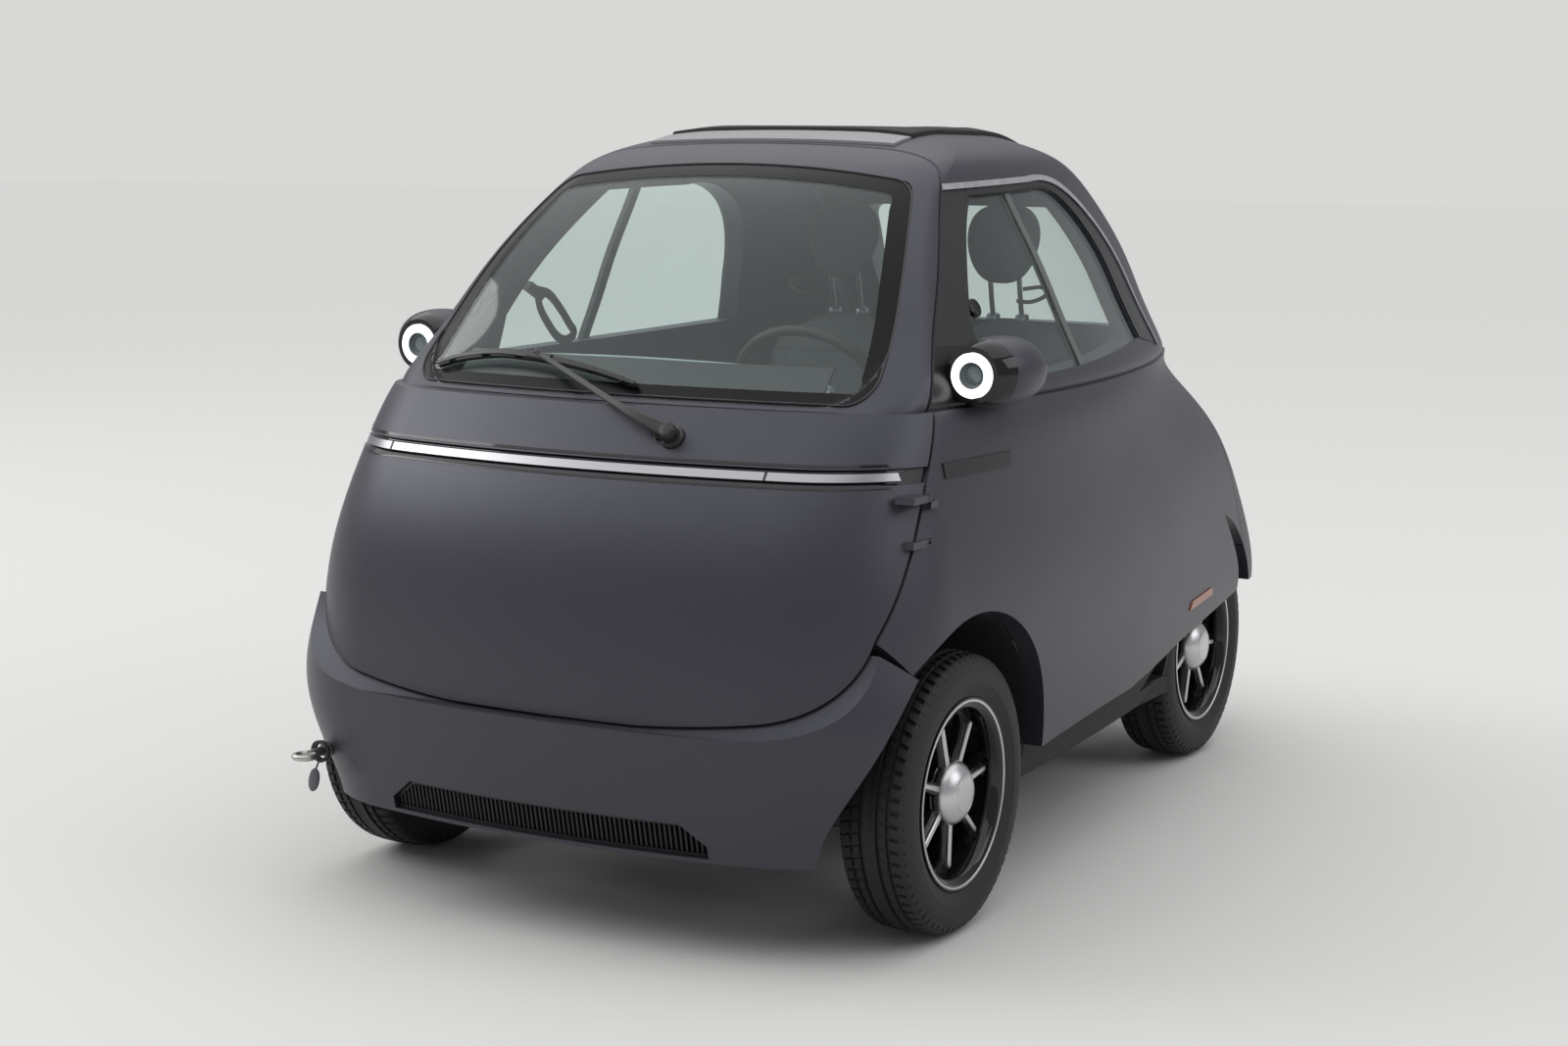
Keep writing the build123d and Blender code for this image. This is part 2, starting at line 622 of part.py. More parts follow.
save("battery_block", block((-330, 330), (60, 420), (seat_floor_top, 400)))

# ---------------------------------------------------------------- seat and wheel
seat_half_width = 460.0
with BuildPart() as seat_base:
    with BuildSketch(Plane.YZ):
        with BuildLine():
            Polyline((-190, 400), (-205, 500), (-170, 545), (230, 520), (340, 520), (340, 400), close=True)
        make_face()
    extrude(amount=seat_half_width, both=True)
save("seat_base", seat_base.part)
with BuildPart() as seat_back:
    with BuildSketch(Plane.YZ):
        with BuildLine():
            Polyline((235, 520), (325, 1050), (345, 1085), (382, 1078), (394, 1040), (330, 520), close=True)
        make_face()
    extrude(amount=seat_half_width - 20, both=True)
save("seat_back", seat_back.part)
rests = []
posts = []
for side in (-1, 1):
    x = side * 235.0
    rests.append(block((x - 115, x + 115), (290, 375), (1152, 1330)))
    for post_x in (x - 45, x + 45):
        posts.append(rod((post_x, 368, 1060), (post_x, 345, 1170), 6) - [rests[-1], seat_back.part])
save("head_restraints", *rests)
save("restraint_posts", *posts)

column_low = (wheel_centre[0], -760.0, 330.0)
lean = Vector(0, 270, 145).normalized()
wheel_plane = Plane(origin=wheel_centre, x_dir=(1, 0, 0), z_dir=lean)
with BuildPart() as steering_wheel:
    with Locations(wheel_plane.location):
        Torus(170, 13)
        Cylinder(48, 34)
    with BuildSketch(wheel_plane.offset(-9)):
        Rectangle(330, 34)
        with Locations((0, -80)):
            Rectangle(34, 160)
    extrude(amount=16)
save("steering_wheel", steering_wheel.part)
hub_back = Vector(*wheel_centre) - lean * (17 + running_gap)
column_top = hub_back - lean * 300
column = rod(hub_back, column_top, 24) + rod(column_top, column_low, 30)
column = column + block((wheel_centre[0] - 30, wheel_centre[0] + 30), (-790, -730), (toe_top, 345))
save("steering_column", column)

# ---------------------------------------------------------------- wheels
Corner = namedtuple("Corner", "name x y")
CORNERS = (
    Corner("front_left", front_wheel_x, front_axle_y),
    Corner("front_right", -front_wheel_x, front_axle_y),
    Corner("rear_left", rear_wheel_x, rear_axle_y),
    Corner("rear_right", -rear_wheel_x, rear_axle_y),
)
half = tyre_width / 2
TYRE = (
    (rim_radius, half - 14), (flange_radius + 2, half - 13), (rim_radius + 55, half),
    (wheel_radius - 20, half - 4), (wheel_radius - 5, half - 16), (wheel_radius, half - 40),
)
with BuildPart() as tyre:
    with BuildSketch(Plane.XZ):
        with BuildLine():
            Polyline(*[(x, r) for r, x in TYRE], *[(-x, r) for r, x in reversed(TYRE)], close=True)
        make_face()
    revolve(axis=Axis.X)
RIM = (
    (rim_radius, half - 14), (rim_radius, half - 12), (flange_radius, half - 12), (flange_radius, half - 8),
    (rim_radius - 8, half - 10), (rim_radius - 9, 26), (40, 30), (40, 14), (rim_radius - 9, 10),
    (rim_radius - 9, -half + 14), (flange_radius, -half + 8), (flange_radius, -half + 12),
    (rim_radius, -half + 12), (rim_radius, -half + 14),
)
with BuildPart() as rim:
    with BuildSketch(Plane.XZ):
        with BuildLine():
            Polyline(*[(x, r) for r, x in RIM], close=True)
        make_face()
    revolve(axis=Axis.X)
with BuildPart() as cap:
    with BuildSketch(Plane.XZ):
        with BuildLine():
            Polyline((31, 40), (31, 62), (52, 56), (66, 38), (71, 0), (31, 0), close=True)
        make_face()
    revolve(axis=Axis.X)
hub = cap.part + rod((-42, 0, 0), (32, 0, 0), 40)
hub = hub - rod((-60, 0, 0), (8 + running_gap, 0, 0), stub_radius + running_gap)
spoke = block((30, 43), (-9, 9), (50, 155))
for i in range(spoke_count):
    hub = hub + spoke.rotate(Axis.X, spoke_phase + i * 360 / spoke_count)


def at_corner(shape, corner):
    """A wheel piece drawn for the left side, put at one corner."""
    if corner.x < 0:
        shape = mirror(shape, about=Plane.YZ)
    return shape.moved(Location((corner.x, corner.y, wheel_radius)))


for corner in CORNERS:
    save("tyre_" + corner.name, at_corner(tyre.part, corner))
    save("rim_" + corner.name, at_corner(rim.part, corner))
    save("hub_" + corner.name, at_corner(hub, corner))
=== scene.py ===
# %% [markdown]
# # A rounded two-seat microcar
# The real car is a lozenge of satin graphite paint whose whole front is the door.
# The engineering model gives every rigid piece its true shape, so this lesson loads it as a fixed
# frame and adds what a builder would add on top of it: paint, rubber, glass, cloth and small trim.

# %% Load the frame
import json
from math import atan2, copysign, cos, exp, hypot, pi, radians, sin, sqrt

import bmesh
import bpy
from mathutils import Matrix, Vector
from mathutils.bvhtree import BVHTree


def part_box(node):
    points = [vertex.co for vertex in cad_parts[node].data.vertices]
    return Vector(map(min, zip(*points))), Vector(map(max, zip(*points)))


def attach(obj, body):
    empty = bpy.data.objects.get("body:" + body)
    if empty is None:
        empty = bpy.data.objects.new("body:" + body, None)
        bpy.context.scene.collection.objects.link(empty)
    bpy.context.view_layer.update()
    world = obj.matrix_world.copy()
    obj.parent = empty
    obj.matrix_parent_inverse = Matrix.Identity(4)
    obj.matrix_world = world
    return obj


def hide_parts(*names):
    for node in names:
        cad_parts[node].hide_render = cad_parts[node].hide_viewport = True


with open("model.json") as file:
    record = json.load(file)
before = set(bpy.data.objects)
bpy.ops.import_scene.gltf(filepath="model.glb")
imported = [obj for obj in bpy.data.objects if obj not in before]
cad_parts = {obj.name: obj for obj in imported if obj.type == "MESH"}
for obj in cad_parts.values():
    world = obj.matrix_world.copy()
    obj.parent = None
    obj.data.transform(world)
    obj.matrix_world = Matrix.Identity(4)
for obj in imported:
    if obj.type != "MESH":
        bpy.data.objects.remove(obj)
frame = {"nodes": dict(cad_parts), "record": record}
NODES = frame["nodes"]
SCENE = bpy.context.scene
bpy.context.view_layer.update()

# %% [markdown]
# ## Camera
# The view is from well back and about as high as the roof, so that the rounded nose isn't
# stretched. The camera's axes are worked out from three angles and written straight into its
# matrix: that is plainer than chaining rotations.

# %% Place the camera
CAMERA_AT = Vector((2.649, -5.013, 1.471))
CAMERA_YAW = radians(29.38)
CAMERA_PITCH = radians(8.46)
CAMERA_ROLL = radians(0.47)
FOCAL_PIXELS = 2615.3
IMAGE_WIDTH = 1600
SENSOR_WIDTH = 36.0

backward = Vector((
    sin(CAMERA_YAW) * cos(CAMERA_PITCH),
    -cos(CAMERA_YAW) * cos(CAMERA_PITCH),
    sin(CAMERA_PITCH),
))
level_right = Vector((0, 0, 1)).cross(backward).normalized()
level_up = backward.cross(level_right)
right = level_right * cos(CAMERA_ROLL) + level_up * sin(CAMERA_ROLL)
up = level_up * cos(CAMERA_ROLL) - level_right * sin(CAMERA_ROLL)

lens_data = bpy.data.cameras.new("camera")
lens_data.sensor_width = SENSOR_WIDTH
lens_data.lens = SENSOR_WIDTH * FOCAL_PIXELS / IMAGE_WIDTH
camera = bpy.data.objects.new("camera", lens_data)
camera.matrix_world = Matrix((
    (right.x, up.x, backward.x, CAMERA_AT.x),
    (right.y, up.y, backward.y, CAMERA_AT.y),
    (right.z, up.z, backward.z, CAMERA_AT.z),
    (0, 0, 0, 1),
))
SCENE.collection.objects.link(camera)
SCENE.camera = camera
print("lens", round(lens_data.lens, 1), "mm")

# %% [markdown]
# ## Floor and light
# Satin paint shows its shape through broad, soft highlights. A sun lamp as wide as a light tent
# gives the same soft light everywhere on the floor, and two large area lamps add a sheen to the
# nose and the side. What is seen behind the car, straight on or through glass, is a plain pale
# colour, and the light that the same world gives is set apart from it.


# %% Helpers that add objects
def link(obj):
    """Put a new object in the scene and hand it back."""
    SCENE.collection.objects.link(obj)
    return obj


def mesh_object(name, verts, faces, material=None, smooth=True):
    """A mesh object from plain lists."""
    mesh = bpy.data.meshes.new(name)
    mesh.from_pydata([tuple(v) for v in verts], [], faces)
    mesh.validate()
    mesh.update()
    mesh.polygons.foreach_set("use_smooth", [smooth] * len(mesh.polygons))
    if material:
        mesh.materials.append(material)
    return link(bpy.data.objects.new(name, mesh))


# %% Make the floor
FLOOR_HALF = 60.0
FLOOR_HEIGHT = -0.002
floor = mesh_object("floor", [
    (FLOOR_HALF * x, FLOOR_HALF * y, FLOOR_HEIGHT) for x, y in ((-1, -1), (1, -1), (1, 1), (-1, 1))
], [(0, 1, 2, 3)], smooth=False)


def is_ray(nodes, links, kinds):
    """One for rays of any of these kinds, nought for the others."""
    rays = nodes.new("ShaderNodeLightPath")
    total = rays.outputs[kinds[0]]
    for kind in kinds[1:]:
        either = nodes.new("ShaderNodeMath")
        either.operation = "MAXIMUM"
        links.new(total, either.inputs[0])
        links.new(rays.outputs[kind], either.inputs[1])
        total = either.outputs[0]
    return total


def two_way(tree, kinds, scattered, seen, output):
    """Clear a node tree, then show one shader to rays of these kinds and another to the rest."""
    tree.nodes.clear()
    mix = tree.nodes.new("ShaderNodeMixShader")
    tree.links.new(is_ray(tree.nodes, tree.links, kinds), mix.inputs["Fac"])
    for socket, (kind, colour, strength) in ((1, scattered), (2, seen)):
        shader = tree.nodes.new(kind)
        shader.inputs["Color"].default_value = (*colour, 1)
        if strength is not None:
            shader.inputs["Strength"].default_value = strength
        tree.links.new(shader.outputs[0], mix.inputs[socket])
    tree.links.new(mix.outputs[0], tree.nodes.new(output).inputs["Surface"])


FLOOR_SEEN = (0.76, 0.752, 0.737)
FLOOR_BOUNCE = (0.2, 0.2, 0.2)
floor_finish = bpy.data.materials.new("floor_finish")
floor_finish.use_nodes = True
two_way(floor_finish.node_tree, ("Is Camera Ray", "Is Glossy Ray", "Is Transmission Ray"),
        ("ShaderNodeBsdfDiffuse", FLOOR_BOUNCE, None),
        ("ShaderNodeBsdfDiffuse", FLOOR_SEEN, None), "ShaderNodeOutputMaterial")
floor.data.materials.append(floor_finish)

# %% Make the world and the lamps
SEEN_COLOUR = (0.695, 0.688, 0.675)
LIT_COLOUR = (0.96, 0.98, 1.0)
LIT_STRENGTH = 0.36
world = bpy.data.worlds.new("studio")
SCENE.world = world
world.use_nodes = True
two_way(world.node_tree, ("Is Camera Ray", "Is Transmission Ray"),
        ("ShaderNodeBackground", LIT_COLOUR, LIT_STRENGTH),
        ("ShaderNodeBackground", SEEN_COLOUR, 1.0), "ShaderNodeOutputWorld")


def lamp_at(name, kind, at, target, power):
    """A lamp of some kind, placed and pointed at something."""
    lamp = bpy.data.lights.new(name, kind)
    lamp.energy = power
    obj = link(bpy.data.objects.new(name, lamp))
    obj.location = at
    obj.rotation_euler = (Vector(target) - Vector(at)).to_track_quat("-Z", "Y").to_euler()
    return lamp


lamp_at("light_tent", "SUN", (-1.2, 0.3, 5.0), (0, 0, 0), 1.75).angle = radians(110)
for box in (
    lamp_at("left_box", "AREA", (-8.6, -3.2, 6.2), (0, -0.6, 0.7), 210),
    lamp_at("side_box", "AREA", (8.0, 1.4, 5.4), (0.3, 0, 0.8), 120),
):
    box.shape = "RECTANGLE"
    box.size, box.size_y = 6.0, 4.0

SCENE.view_settings.view_transform = "Standard"
print(len(bpy.data.lights), "lamps")

# %% [markdown]
# ## Finishes
# The car mixes satin paint, gloss and grained plastics, satin metal, rubber, glass and cloth. Each
# finish is one small shader tree. The base is the Principled shader, whose constants set how
# glossy the surface is, and noise drives small changes of colour, roughness and height. Painted
# textures could do that too, but noise needs no unwrapping, has no seams and stays sharp up close.


# %% Shader helpers
def shader_inputs(mat):
    """The sockets of a material's Principled shader."""
    return mat.node_tree.nodes["Principled BSDF"].inputs


def set_inputs(mat, values):
    """Set constants on the shader's own sockets."""
    for name, value in values.items():
        shader_inputs(mat)[name].default_value = value


def new_finish(name, colour, roughness, metallic=0.0):
    """A material with its Principled shader ready."""
    mat = bpy.data.materials.new(name)
    mat.use_nodes = True
    set_inputs(mat, {"Base Color": (*colour, 1), "Roughness": roughness, "Metallic": metallic})
    return mat


def object_noise(mat, scale, detail=3.0):
    """Noise in the piece's own coordinates."""
    nodes = mat.node_tree.nodes
    place = nodes.new("ShaderNodeTexCoord")
    noise = nodes.new("ShaderNodeTexNoise")
    noise.inputs["Scale"].default_value = scale
    noise.inputs["Detail"].default_value = detail
    mat.node_tree.links.new(place.outputs["Object"], noise.inputs["Vector"])
    return noise


def vary_colour(mat, noise, dark, light):
    """Let noise move the base colour between two tones."""
    ramp = mat.node_tree.nodes.new("ShaderNodeValToRGB")
    for stop, position, tone in zip(ramp.color_ramp.elements, (0.35, 0.65), (dark, light)):
        stop.position = position
        stop.color = (*tone, 1)
    mat.node_tree.links.new(noise.outputs["Fac"], ramp.inputs["Fac"])
    mat.node_tree.links.new(ramp.outputs["Color"], shader_inputs(mat)["Base Color"])


def vary_roughness(mat, noise, low, high):
    """Let noise move the roughness between two values."""
    spread = mat.node_tree.nodes.new("ShaderNodeMapRange")
    spread.inputs["To Min"].default_value = low
    spread.inputs["To Max"].default_value = high
    mat.node_tree.links.new(noise.outputs["Fac"], spread.inputs["Value"])
    mat.node_tree.links.new(spread.outputs["Result"], shader_inputs(mat)["Roughness"])


def add_bump(mat, noise, strength, distance):
    """Turn noise into small relief."""
    bump = mat.node_tree.nodes.new("ShaderNodeBump")
    bump.inputs["Strength"].default_value = strength
    bump.inputs["Distance"].default_value = distance
    mat.node_tree.links.new(noise.outputs["Fac"], bump.inputs["Height"])
    mat.node_tree.links.new(bump.outputs["Normal"], shader_inputs(mat)["Normal"])


# %% Paint, plastics, metals and rubber
paint = new_finish("graphite_paint", (0.064, 0.064, 0.082), 0.42, 0.45)
vary_colour(paint, object_noise(paint, 900.0, 1.0), (0.058, 0.058, 0.075), (0.072, 0.072, 0.092))
vary_roughness(paint, object_noise(paint, 6.0), 0.39, 0.46)
set_inputs(paint, {"Coat Weight": 0.15, "Coat Roughness": 0.42})


def moulded(name, colour, roughness, grain, depth):
    """A moulded plastic with a fine grain."""
    mat = new_finish(name, colour, roughness)
    noise = object_noise(mat, grain)
    vary_colour(mat, noise, colour, tuple(c * 1.25 for c in colour))
    add_bump(mat, noise, 0.25, depth)
    return mat


black_gloss = moulded("gloss_black", (0.008, 0.008, 0.009), 0.07, 12.0, 0.00005)
band_black = moulded("band_black", (0.006, 0.006, 0.007), 0.28, 14.0, 0.00004)
set_inputs(band_black, {"Specular IOR Level": 0.18})
dark_trim = moulded("dark_trim", (0.02, 0.02, 0.022), 0.42, 700.0, 0.0002)
grey_trim = moulded("header_grey", (0.3, 0.3, 0.31), 0.45, 300.0, 0.0001)
under_black = moulded("underbody_black", (0.012, 0.012, 0.012), 0.7, 120.0, 0.0004)


def uneven(name, colour, roughness, low, high, grain, metallic=0.0):
    """A finish whose roughness wanders between two values."""
    mat = new_finish(name, colour, roughness, metallic)
    vary_roughness(mat, object_noise(mat, grain), low, high)
    return mat


def metal(name, colour, roughness):
    """A metal whose roughness wanders a little."""
    return uneven(name, colour, roughness, roughness * 0.8, roughness * 1.3, 260.0, 1.0)


def woven(name, colour, roughness, grain, strength, depth):
    """A cloth or a skin with fine relief."""
    mat = new_finish(name, colour, roughness)
    add_bump(mat, object_noise(mat, grain), strength, depth)
    return mat


satin_chrome = metal("satin_chrome", (0.4, 0.4, 0.42), 0.3)
silver = metal("wheel_silver", (0.62, 0.62, 0.63), 0.3)
bare_steel = metal("bare_steel", (0.52, 0.53, 0.5), 0.34)
cast = metal("coated_casting", (0.06, 0.06, 0.065), 0.55)
mirror_face = metal("mirror_face", (0.86, 0.86, 0.87), 0.03)
rubber = moulded("tyre_rubber", (0.016, 0.016, 0.0165), 0.62, 240.0, 0.0003)


# %% Glass, lamps and cloth
def glass(name, tint, mirror, haze):
    """A thin pane: clear and tinted, with a faint haze, and more of a mirror towards its edges."""
    mat = bpy.data.materials.new(name)
    mat.use_nodes = True
    nodes, links = mat.node_tree.nodes, mat.node_tree.links
    nodes.clear()
    hazy, pane = nodes.new("ShaderNodeMixShader"), nodes.new("ShaderNodeMixShader")
    hazy.inputs["Fac"].default_value = haze
    for kind, colour, mix, socket in (
        ("ShaderNodeBsdfTransparent", tint, hazy, 1),
        ("ShaderNodeBsdfDiffuse", (0.86, 0.95, 0.97), hazy, 2),
        ("ShaderNodeBsdfGlossy", (1, 1, 1), pane, 2),
    ):
        shader = nodes.new(kind)
        shader.inputs["Color"].default_value = (*colour, 1)
        links.new(shader.outputs[0], mix.inputs[socket])
    shader.inputs["Roughness"].default_value = 0.03
    edge_on = nodes.new("ShaderNodeLayerWeight")
    edge_on.inputs["Blend"].default_value = 0.5
    steep = nodes.new("ShaderNodeMath")
    steep.operation = "POWER"
    steep.inputs[1].default_value = 4.0
    share = nodes.new("ShaderNodeMapRange")
    share.inputs["To Min"].default_value = mirror
    share.inputs["To Max"].default_value = 0.6
    links.new(edge_on.outputs["Facing"], steep.inputs[0])
    links.new(steep.outputs[0], share.inputs["Value"])
    links.new(share.outputs["Result"], pane.inputs["Fac"])
    links.new(hazy.outputs[0], pane.inputs[1])
    links.new(pane.outputs[0], nodes.new("ShaderNodeOutputMaterial").inputs["Surface"])
    return mat


window_glass = glass("window_glass", (0.915, 0.958, 0.948), 0.02, 0.022)
lamp_glass = glass("lamp_glass", (0.9, 0.93, 0.95), 0.06, 0.0)

lamp_light = uneven("lit_ring", (0.9, 0.9, 0.9), 0.4, 0.3, 0.5, 90.0)
set_inputs(lamp_light, {"Emission Color": (1.0, 0.99, 0.97, 1), "Emission Strength": 1.5})
red_lamp = uneven("red_lamp", (0.3, 0.012, 0.012), 0.12, 0.1, 0.16, 60.0)
amber_lamp = uneven("marker_lamp", (0.42, 0.1, 0.05), 0.2, 0.16, 0.24, 60.0)

cloth = woven("seat_cloth", (0.105, 0.118, 0.122), 0.85, 900.0, 0.5, 0.0004)
vary_colour(cloth, object_noise(cloth, 420.0), (0.085, 0.097, 0.101), (0.135, 0.15, 0.156))
roof_cloth = woven("roof_cloth", (0.012, 0.012, 0.013), 0.7, 1200.0, 0.4, 0.0004)
print(len(bpy.data.materials), "finishes")

# %% Give every carried-over part its finish
FINISH_OF_SLOT = {
    "body_paint": paint, "black_gloss": black_gloss, "dark_trim": dark_trim, "grey_trim": grey_trim,
    "clear_glass": window_glass, "satin_chrome": satin_chrome, "lamp_white": lamp_light,
    "lamp_clear": lamp_glass, "lamp_red": red_lamp, "marker_orange": amber_lamp,
    "mirror_face": mirror_face, "black_fabric": roof_cloth, "seat_fabric": cloth, "steel": bare_steel,
    "cast_steel": cast, "alloy": silver, "tyre_rubber": rubber,
}
for row in frame["record"]["subparts"]:
    node = NODES[row["node"]]
    node.data.materials.clear()
    node.data.materials.append(FINISH_OF_SLOT[row["material_slot"]])
FINISH_OF_PART = {
    "floor_pan": under_black, "arch_liners": under_black, "boot_tub": under_black,
    "side_rails": moulded("rail_silver", (0.42, 0.42, 0.45), 0.38, 40.0, 0.00002),
    "pillar_patches": moulded("patch_black", (0.008, 0.008, 0.009), 0.32, 12.0, 0.00005),
    "window_dividers": moulded("divider_grey", (0.14, 0.15, 0.15), 0.4, 300.0, 0.0001),
}
for name, finish in FINISH_OF_PART.items():
    NODES[name].data.materials[0] = finish
print(len(NODES), "parts have their finish")

# %% [markdown]
# ## Tools for thin trim
# Seals, borders and strips follow the body's curved skin. The plain way to make them is to draw
# their outline flat, drop each point onto the skin with a ray, and give the sheet a little
# thickness. A ray-casting tree built from the engineering mesh finds the skin exactly.


# %% Rays onto the skin
MM = 0.001


def tree_of(*names):
    """A ray-casting tree of some engineering parts."""
    verts = []
    faces = []
    for name in names:
        mesh = NODES[name].data
        base = len(verts)
        verts += [v.co.copy() for v in mesh.vertices]
        faces += [[base + i for i in p.vertices] for p in mesh.polygons]
    return BVHTree.FromPolygons(verts, faces)


def from_front(tree, x, z):
    """Where a ray running backwards meets the skin, and the way the skin faces."""
    return tree.ray_cast(Vector((x, -2.0, z)), Vector((0, 1, 0)))[:2]


def from_left(tree, y, z):
    """The same for a ray that comes in from the car's left."""
    return tree.ray_cast(Vector((2.0, y, z)), Vector((-1, 0, 0)))[:2]


def from_above(tree, x, y):
    """The same for a ray that comes down."""
    return tree.ray_cast(Vector((x, y, 3.0)), Vector((0, 0, -1)))[:2]


# %% Flat outlines: arcs, rounded corners and even spacing
def arc(start, middle, end, steps=24):
    """Points along the circle through three flat points."""
    (ax, ay), (bx, by), (cx, cy) = start, middle, end
    d = 2 * (ax * (by - cy) + bx * (cy - ay) + cx * (ay - by))
    a2, b2, c2 = ax * ax + ay * ay, bx * bx + by * by, cx * cx + cy * cy
    ux = (a2 * (by - cy) + b2 * (cy - ay) + c2 * (ay - by)) / d
    uy = (a2 * (cx - bx) + b2 * (ax - cx) + c2 * (bx - ax)) / d
    radius = hypot(ax - ux, ay - uy)
    t0, t1, t2 = (atan2(y - uy, x - ux) for x, y in (start, middle, end))
    turn = (t2 - t0) % (2 * pi)
    if (t1 - t0) % (2 * pi) > turn:
        turn -= 2 * pi
    return [
        (ux + radius * cos(t0 + turn * i / steps), uy + radius * sin(t0 + turn * i / steps))
        for i in range(steps + 1)
    ]


def line(start, end, steps=24):
    """Points along a straight flat line."""
    return [(start[0] + (end[0] - start[0]) * i / steps, start[1] + (end[1] - start[1]) * i / steps)
            for i in range(steps + 1)]


def lengths(points):
    """Running length at each point."""
    total = [0.0]
    for p, q in zip(points, points[1:]):
        total.append(total[-1] + (Vector(q) - Vector(p)).length)
    return total


def at_length(points, run, wanted):
    """The point a given length along a chain."""
    wanted = min(max(wanted, 0.0), run[-1])
    for i in range(len(points) - 1):
        if run[i + 1] >= wanted:
            share = (wanted - run[i]) / max(run[i + 1] - run[i], 1e-9)
            return tuple(Vector(points[i]).lerp(Vector(points[i + 1]), share))
    return tuple(points[-1])


def spaced(points, count):
    """The same chain with evenly spaced points."""
    run = lengths(points)
    return [at_length(points, run, run[-1] * i / (count - 1)) for i in range(count)]


def rounded_loop(edges, radii, count):
    """A closed chain of edges whose corners are rounded, evenly spaced."""
    chain = []
    for i, edge in enumerate(edges):
        following = edges[(i + 1) % len(edges)]
        run = lengths(edge)
        begin = radii[i - 1]
        kept = [at_length(edge, run, begin + (run[-1] - begin - radii[i]) * k / 30) for k in range(31)]
        chain += kept
        corner = Vector(edge[-1])
        first = Vector(kept[-1])
        last = Vector(at_length(following, lengths(following), radii[i]))
        bend = (first - corner).normalized().dot((last - corner).normalized())
        weight = sqrt(max((1 - bend) / 2, 0.01))
        for k in range(1, 12):
            t = k / 12
            a, b, c = (1 - t) ** 2, 2 * weight * t * (1 - t), t * t
            chain.append(tuple((first * a + corner * b + last * c) / (a + b + c)))
    chain.append(chain[0])
    return spaced(chain, count + 1)[:-1]


def inward(loop):
    """The inward flat normal at each point of a closed loop."""
    middle = Vector((sum(p[0] for p in loop) / len(loop), sum(p[1] for p in loop) / len(loop)))
    normals = []
    for i, p in enumerate(loop):
        along = Vector(loop[(i + 1) % len(loop)]) - Vector(loop[i - 1])
        side = Vector((-along.y, along.x)).normalized()
        if side.dot(middle - Vector(p)) < 0:
            side = -side
        normals.append(side)
    return normals


# %% Rows of flat points onto the skin, and into a sheet with thickness
def cast_rows(flat_rows, caster, tree):
    """Drop rows of flat points onto the skin. A point that misses takes its neighbour's place."""
    rows = []
    for flat in flat_rows:
        row = []
        for k, (across, rise) in enumerate(flat):
            found, normal = caster(tree, across, rise)
            if found is None:
                found, normal = row[-1] if row else rows[-1][k]
            row.append((found, normal))
        rows.append(row)
    return rows


def ring_faces(count, around, closed=False):
    """Faces that join equal rings of vertices, with a cap at each end unless the rings close up."""
    faces = []
    for i in range(count if closed else count - 1):
        near, far = i * around, (i + 1) % count * around
        for k in range(around):
            m = (k + 1) % around
            faces.append((near + k, near + m, far + m, far + k))
    if not closed:
        faces += [tuple(reversed(range(around))), tuple(range((count - 1) * around, count * around))]
    return faces


def skin_parts(rows, lift, thick, loop=False):
    """Vertices and faces of a sheet over rows of (point, normal)."""
    verts = []
    for row in rows:
        verts += [p + n * lift for p, n in row] + [p + n * (lift - thick) for p, n in reversed(row)]
    around = 2 * len(rows[0])
    faces = ring_faces(len(rows), around, loop)
    if not loop:
        del faces[-2:]
        for end in (0, len(verts) - around):
            faces += [(end + k, end + k + 1, end + around - 2 - k, end + around - 1 - k)
                      for k in range(len(rows[0]) - 1)]
    return verts, faces


# %% Pieces, tubes and turned shapes
def outward(obj):
    """Make every face look outwards."""
    work = bmesh.new()
    work.from_mesh(obj.data)
    bmesh.ops.recalc_face_normals(work, faces=work.faces)
    work.to_mesh(obj.data)
    work.free()
    return obj


def join_parts(*parts):
    """Several (vertices, faces) lists as one."""
    verts = []
    faces = []
    for more_verts, more_faces in parts:
        base = len(verts)
        verts += more_verts
        faces += [tuple(base + i for i in f) for f in more_faces]
    return verts, faces


def both_sides(part):
    """The part together with its mirror image on the car's other side."""
    verts, faces = part
    flipped = [Vector((-v[0], v[1], v[2])) for v in verts], [tuple(reversed(f)) for f in faces]
    return join_parts(part, flipped)


def steps_from(base, *steps):
    """Points given as steps away from a base."""
    return [Vector(base) + Vector(step) for step in steps]


def piece(name, part, material, body, replaces=(), smooth_angle=40):
    """Make one piece that rides on a body, and say what finish it has."""
    obj = outward(mesh_object(name, part[0], part[1], material))
    obj.data.set_sharp_from_angle(angle=radians(smooth_angle))
    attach(obj, body)
    if replaces:
        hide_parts(*replaces)
    print(name, len(obj.data.polygons), "faces")
    return obj


def directions(points, closed=False):
    """The way a chain of points runs at each of them."""
    last = len(points) - 1
    ways = []
    for i in range(last + 1):
        before = points[i - 1] if closed or i else points[0]
        after = points[(i + 1) % (last + 1)] if closed or i < last else points[last]
        ways.append((Vector(after) - Vector(before)).normalized())
    return ways


def valued(value, t):
    """A number, or a function of how far along we are."""
    return value(t) if callable(value) else value


def tube_part(points, radius, closed=False, around=8):
    """A round tube along 3-D points."""
    verts = []
    side = None
    for i, (p, along) in enumerate(zip(points, directions(points, closed))):
        if side is None:
            side = along.orthogonal().normalized()
        side = (side - along * side.dot(along)).normalized()
        other = along.cross(side)
        size = valued(radius, i / (len(points) - 1))
        for k in range(around):
            t = 2 * pi * k / around
            verts.append(Vector(p) + side * (size * cos(t)) + other * (size * sin(t)))
    return verts, ring_faces(len(points), around, closed)


